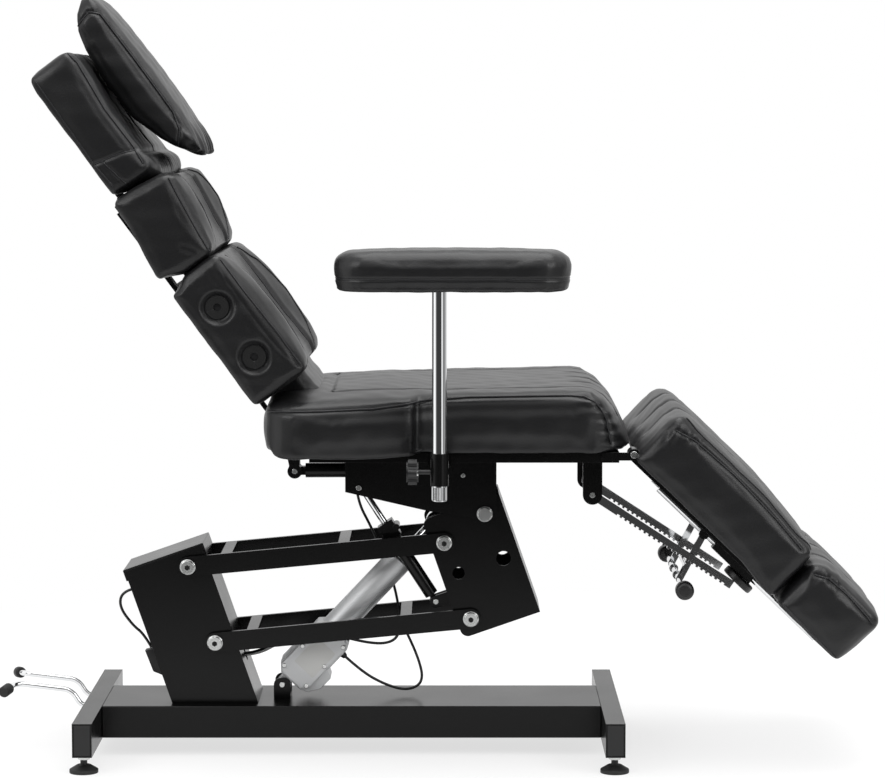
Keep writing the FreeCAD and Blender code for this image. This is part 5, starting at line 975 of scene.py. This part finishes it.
def headDetail(p, n):
    s, y, t = -p[:, 0], p[:, 1], p[:, 2]
    side = np.abs(n[:, 1])
    move = 3.0 * valley(s - 675, 80) * valley(t - 80, 26) * side
    # the side panel's cross seam, its edge and the corner seam
    move -= 2.4 * valley(awayFrom(s, t, [(594, 40), (582, 90), (572, 118)]), 3.2) * side
    move -= 2.2 * valley(awayFrom(s, t, head["seam"]), 4) * side
    move -= 1.8 * valley(awayFrom(s, t, [(588, 56), (536, 66)]), 3.2) * side
    move -= 5 * valley(y, 6) * np.clip(n[:, 2], 0, 1)
    # the roll at the lower front, gathered where its cover closes
    roll = (1 - ramp(s, 536, 566)) * ramp(t, 86, 108) * (1 - ramp(np.abs(y), 205, 240))
    move += 6 * roll + 1.3 * roll * np.sin(y / 5.5)
    move -= 5 * valley(s - 562, 6) * np.clip(n[:, 2], 0, 1) * (1 - ramp(np.abs(y), 205, 240))
    move += 0.8 * ripple(p, 11, 90)
    return p + n * move[:, None]


print("head pad")
headPad = pad("headPad", "head_cushion", "head", backFrame, head, headShape, headDetail, 0.85)
sideWelts("headSideWelt", headPad, backFrame, "head", [(-s, t) for s, t in head["seam"]], 1.6, 60)
sideWelts("headCrossSeam", headPad, backFrame, "head", [(-594, 42), (-582, 90), (-572, 112)], 1.3, 30)
sideWelts("headCornerSeam", headPad, backFrame, "head", [(-590, 56), (-536, 66)], 1.3, 24)
sideWelts("headEdgeSeam", headPad, backFrame, "head", [(-768, 47), (-590, 42), (-545, 46)], 1.3, 50)


# Pillow

pillow = {"low": (-845, -140, 127), "high": (-504, 140, 202), "corner": 30, "topEdge": 16,
          "bottomEdge": 12, "voxel": 4.5, "pressure": 5, "cap": 2.0,
          "under": [(504, 188), (520, 176), (540, 163), (566, 150), (600, 139), (627, 131), (700, 130),
                    (766, 137), (800, 147), (824, 162), (838, 178), (845, 190)],
          "face": [(504, 197), (520, 200), (545, 203), (586, 205), (670, 206), (746, 205), (800, 204),
                   (825, 202), (838, 199), (845, 196)],
          "seam": [(814, 182), (800, 195), (700, 196), (590, 195), (560, 187), (541, 170), (536, 164)],
          "endSeam": [(806, 150), (814, 182)]}


def pillowShape(p):
    p = p.copy()
    up = heightShare(p, pillow)
    s = -p[:, 0]
    # both ends sweep up from the flat underside to the crowned face
    under, face = level(s, pillow["under"]), level(s, pillow["face"])
    face = face + 8 * (1 - np.clip(np.abs((s - 672) / 172), 0, 1) ** 3) * (1 - (p[:, 1] / 140) ** 2)
    p[:, 2] = under + up * (face - under)
    return p


def pillowDetail(p, n):
    s, y, t = -p[:, 0], p[:, 1], p[:, 2]
    side = np.abs(n[:, 1])
    move = 3 * valley(s - 670, 110) * valley(t - 165, 22) * side
    move -= 2.6 * valley(awayFrom(s, t, pillow["seam"]), 4) * side
    move -= 2.0 * valley(awayFrom(s, t, pillow["endSeam"]), 3.4) * side
    nose = 1 - ramp(s, 508, 575)
    move += 3.0 * nose * np.sin(y / 6.0) * ramp(t, 165, 190)  # gathers where the cover is closed
    move += 1.4 * nose * np.sin(y / 3.3 + 1) * ramp(t, 165, 190)
    move += 0.9 * ripple(p, 13, 80)
    return p + n * move[:, None]


print("pillow")
headPillow = pad("headPillow", "head_pillow", "head", backFrame, pillow, pillowShape, pillowDetail, 0.9)
sideWelts("pillowWelt", headPillow, backFrame, "head", [(-s, t) for s, t in pillow["seam"]], 1.8, 80, 0.4)
sideWelts("pillowEndSeam", headPillow, backFrame, "head", [(-s, t) for s, t in pillow["endSeam"]], 1.3, 20)


# Leg rest pads

leg = {"low": (2, -281, -3.8), "high": (342, 281, 106), "corner": 14, "topEdge": 15,
       "bottomEdge": 7, "voxel": 5.5, "pressure": 4, "cap": 1.7,
       "seam": [(20, 80), (56, 90), (145, 94), (252, 89), (318, 82)],
       "channels": (-141, 0, 141)}


def channels(p, n, lines, depth, width):
    facing = np.maximum(np.clip(n[:, 2], 0, 1) ** 0.6, np.abs(n[:, 0]) * 0.8)
    move = np.zeros(len(p))
    for line in lines:
        move -= depth * valley(p[:, 1] - line, width) * facing
    return move


def legShape(p):
    p = p.copy()
    up = heightShare(p, leg)
    a, y = p[:, 0].copy(), np.abs(p[:, 1])
    p[:, 2] += up * (8 * (1 - (y / 281) ** 2.5) - 12 * ramp(a, 185, 342))
    p[:, 2] -= (1 - up) * ramp(y, 215, 245) * (1 + 9 * ramp(a, 250, 335))
    return p


def restDetail(p, n, rest, foam, belly, corner, gathers, seed):
    # three sewn channels with full rows between them, soft sides, and gathers where the top seam turns
    a, y, b = p[:, 0], p[:, 1], p[:, 2]
    side = np.abs(n[:, 1])
    move = channels(p, n, rest["channels"], 8, 8) * ramp(b, *foam)
    for line in (-70, 70, -208, 208):
        move += 3.5 * valley(y - line, 42) * np.maximum(np.clip(n[:, 2], 0, 1), np.abs(n[:, 0]) * 0.6)
    move += 3.5 * valley(a - belly[0], belly[1]) * valley(b - belly[2], belly[3]) * side
    move -= 2.4 * valley(awayFrom(a, b, rest["seam"]), 4) * side
    turn = valley(awayFrom(a, b, corner), 12) * ramp(np.abs(y), 225, 255)
    move += gathers * turn * np.sin(a / 3.8 + b / 9.0)
    move += 0.8 * ripple(p, seed, 90)
    return p + n * move[:, None]


def legDetail(p, n):
    return restDetail(p, n, leg, (25, 70), (150, 110, 46, 34), [(16, 66), (36, 84), (62, 90)], 1.5, 17)


print("leg pads")
legPad = pad("legPad", "leg_cushion", "leg", legFrame, leg, legShape, legDetail, 0.85, extra=("leg_board",))
sideWelts("legSideWelt", legPad, legFrame, "leg", leg["seam"], 1.8, 80, 0.3)
topWelts("legTopWelt", legPad, legFrame, "leg", [(20, 262), (60, 266), (300, 266), (332, 258)], 1.6, 80, 0.3)
for number, line in enumerate(leg["channels"]):
    weltLine("legChannelSeam%d" % number, legPad, legFrame,
             [((u, line, 300), (0, 0, -1)) for u in np.linspace(8, 338, 60)], 1.3, "leg")

foot = {"low": (350, -281, -15), "high": (510, 281, 91), "corner": 22, "topEdge": 17,
        "bottomEdge": 6, "voxel": 5.5, "pressure": 4, "cap": 1.7,
        "seam": [(364, 66), (386, 78), (430, 80), (470, 77), (496, 74)],
        "channels": leg["channels"]}


def footShape(p):
    p = p.copy()
    up = heightShare(p, foot)
    a, y = p[:, 0].copy(), np.abs(p[:, 1])
    p[:, 2] += up * (8 * (1 - (y / 281) ** 2.5) - 6 * (1 - ramp(a, 351, 395)) - 2 * ramp(a, 440, 510))
    # the end face leans out towards the top
    p[:, 0] -= (1 - up) * 8 * ramp(a, 450, 510)
    return p


def footDetail(p, n):
    return restDetail(p, n, foot, (18, 55), (430, 50, 34, 30), [(362, 60), (378, 78), (402, 84)], 1.6, 19)


footPad = pad("footPad", "extension_cushion", "extension", legFrame, foot, footShape, footDetail, 0.85,
              extra=("extension_board",))
sideWelts("footSideWelt", footPad, legFrame, "extension", foot["seam"], 1.8, 60, 0.3)
sideWelts("footEdgeWelt", footPad, legFrame, "extension", [(362, -8), (440, -10), (492, -11)], 1.6, 50, 0.4)
for number, line in enumerate(foot["channels"]):
    weltLine("footChannelSeam%d" % number, footPad, legFrame,
             [((u, line, 300), (0, 0, -1)) for u in np.linspace(355, 505, 36)], 1.3, "extension")


# Armrest

arm = {"low": (-182, -75, 842), "high": (212, 75, 908), "corner": 58, "topEdge": 22,
       "bottomEdge": 9, "voxel": 4.5, "pressure": 4, "cap": 1.2}


def armShape(p):
    p = p.copy()
    crown = 4 * (1 - np.abs((p[:, 0] - 15) / 197) ** 2) * np.clip((p[:, 2] - 880) / 28, 0, 1)
    p[:, 2] += crown
    return p


def armDetail(p, n):
    x, y, z = p[:, 0], p[:, 1], p[:, 2]
    side = 1 - np.abs(n[:, 2])
    move = -2.6 * valley(z - 864, 2.6) * side  # the seam between the board's wrap and the top
    move -= 3.5 * (1 - ramp(z, 845, 864)) * side
    move += 1.5 * valley(z - 885, 14) * side
    move += 0.7 * ripple(p, 23, 70)
    return p + n * move[:, None]


print("armrest")
armHome = Matrix.Translation(Vector((0, -340, 0)) * mm)
armPad = pad("armPad", "arm_pad_right", "arm_pad_right", armHome, arm, armShape, armDetail, 0.8)
around = [((15 + 300 * math.cos(t), 200 * math.sin(t), 864), (-300 * math.cos(t), -200 * math.sin(t), 0))
          for t in np.linspace(0, 2 * math.pi, 140, endpoint=False)]
weltLine("armWelt", armPad, armHome, around, 1.5, "arm_pad_right", closed=True, lift=0.2)
print("pads made")


# Light and backdrop

bm = bmesh.new()
bmesh.ops.create_grid(bm, x_segments=1, y_segments=1, size=1.9)
floor = placed("floor", meshFrom(bm, "floor"))
# matt studio sweep: white to the camera, fading into the white background away from the object
paleFloor, tree, shader, place = newMaterial("paleMattFloor")
shader.inputs["Base Color"].default_value = hexColour("#f4f4f4")
shader.inputs["Roughness"].default_value = 0.9
reach = addNode(tree, "ShaderNodeVectorMath", {"operation": "LENGTH"}, {0: place})
fade = addNode(tree, "ShaderNodeMapRange", {"From Min": 1.0, "From Max": 1.8, "To Min": 0.7, "To Max": 1.0},
               Value=reach.outputs["Value"])
ray = addNode(tree, "ShaderNodeLightPath")
toCamera = addNode(tree, "ShaderNodeMath", {"operation": "MAXIMUM"},
                   {0: ray.outputs["Is Camera Ray"], 1: ray.outputs["Is Glossy Ray"]})
share = addNode(tree, "ShaderNodeMath", {"operation": "MULTIPLY"},
                {0: fade.outputs["Result"], 1: toCamera.outputs["Value"]})
bright = addNode(tree, "ShaderNodeEmission", {"Color": (1, 1, 1, 1), "Strength": 1.0})
blendIn = addNode(tree, "ShaderNodeMixShader", None, {0: share.outputs["Value"], 1: shader.outputs["BSDF"],
                                                      2: bright.outputs["Emission"]})
surface = [n for n in tree.nodes if n.bl_idname == "ShaderNodeOutputMaterial"][0]
tree.links.new(blendIn.outputs["Shader"], surface.inputs["Surface"])
floor.data.materials.append(paleFloor)

studio = {
    # bearing in degrees from the camera towards the right, and its strength: dark flags between soft boxes
    "belt": [(-180, 0.9), (-140, 0.85), (-128, 0.12), (-108, 0.12), (-103, 1.2), (-66, 1.2), (-56, 0.3),
             (-40, 0.05), (30, 0.05), (36, 1.25), (46, 1.25), (54, 0.25), (104, 0.35), (120, 0.85),
             (180, 0.9)],
    "overhead": 1.15, "below": 0.55,
}
world = bpy.data.worlds.new("studio")
bpy.context.scene.world = world
world.use_nodes = True
tree = world.node_tree
tree.nodes.clear()
sky = addNode(tree, "ShaderNodeTexCoord").outputs["Generated"]
towards = addNode(tree, "ShaderNodeSeparateXYZ", Vector=sky)
front = addNode(tree, "ShaderNodeMath", {"operation": "MULTIPLY"}, {0: towards.outputs["Y"], 1: -1})
bearing = addNode(tree, "ShaderNodeMath", {"operation": "ARCTAN2"},
                  {0: towards.outputs["X"], 1: front.outputs["Value"]})
turn = addNode(tree, "ShaderNodeMapRange", {"From Min": -math.pi, "From Max": math.pi},
               Value=bearing.outputs["Value"])
belt = addNode(tree, "ShaderNodeValToRGB", Fac=turn.outputs["Result"])
stops = belt.color_ramp.elements
for angle, strength in studio["belt"][1:-1]:
    stops.new((angle + 180) / 360).color = (strength, strength, strength, 1)
for stop, (angle, strength) in ((stops[0], studio["belt"][0]), (stops[-1], studio["belt"][-1])):
    stop.color = (strength, strength, strength, 1)
high = addNode(tree, "ShaderNodeMapRange", {"From Min": 0.2, "From Max": 0.6}, Value=towards.outputs["Z"])
low = addNode(tree, "ShaderNodeMapRange", {"From Min": -0.18, "From Max": -0.6}, Value=towards.outputs["Z"])
over = addNode(tree, "ShaderNodeMix", {"data_type": "RGBA"},
               {6: belt.outputs["Color"], 7: (studio["overhead"],) * 3 + (1,)}, Factor=high.outputs["Result"])
under = addNode(tree, "ShaderNodeMix", {"data_type": "RGBA"},
                {6: over.outputs[2], 7: (studio["below"],) * 3 + (1,)}, Factor=low.outputs["Result"])
soft = addNode(tree, "ShaderNodeBackground", {"Strength": 1.0}, Color=under.outputs[2])
white = addNode(tree, "ShaderNodeBackground", {"Color": (1, 1, 1, 1), "Strength": 1.0})
path = addNode(tree, "ShaderNodeLightPath")
mix = addNode(tree, "ShaderNodeMixShader", None, {0: path.outputs["Is Camera Ray"],
                                                  1: soft.outputs["Background"],
                                                  2: white.outputs["Background"]})
addNode(tree, "ShaderNodeOutputWorld", Surface=mix.outputs["Shader"])

lamps = [
    # name, place, aim, size, power
    ("overhead", (0.2, -0.3, 3.2), (0.1, 0, 0.6), 2.6, 80),
    ("frontLeft", (-2.6, -2.6, 2.2), (0, 0, 0.7), 1.6, 35),
    ("frontRight", (2.8, -2.2, 1.9), (0.2, 0, 0.6), 1.6, 35),
]
for name, place, aim, size, power in lamps:
    lamp = bpy.data.lights.new(name, "AREA")
    lamp.size = size
    lamp.energy = power
    holder = placed(name, lamp)
    holder.location = place
    holder.rotation_euler = (Vector(aim) - Vector(place)).to_track_quat("-Z", "Y").to_euler()

bpy.context.scene.view_settings.view_transform = "Standard"
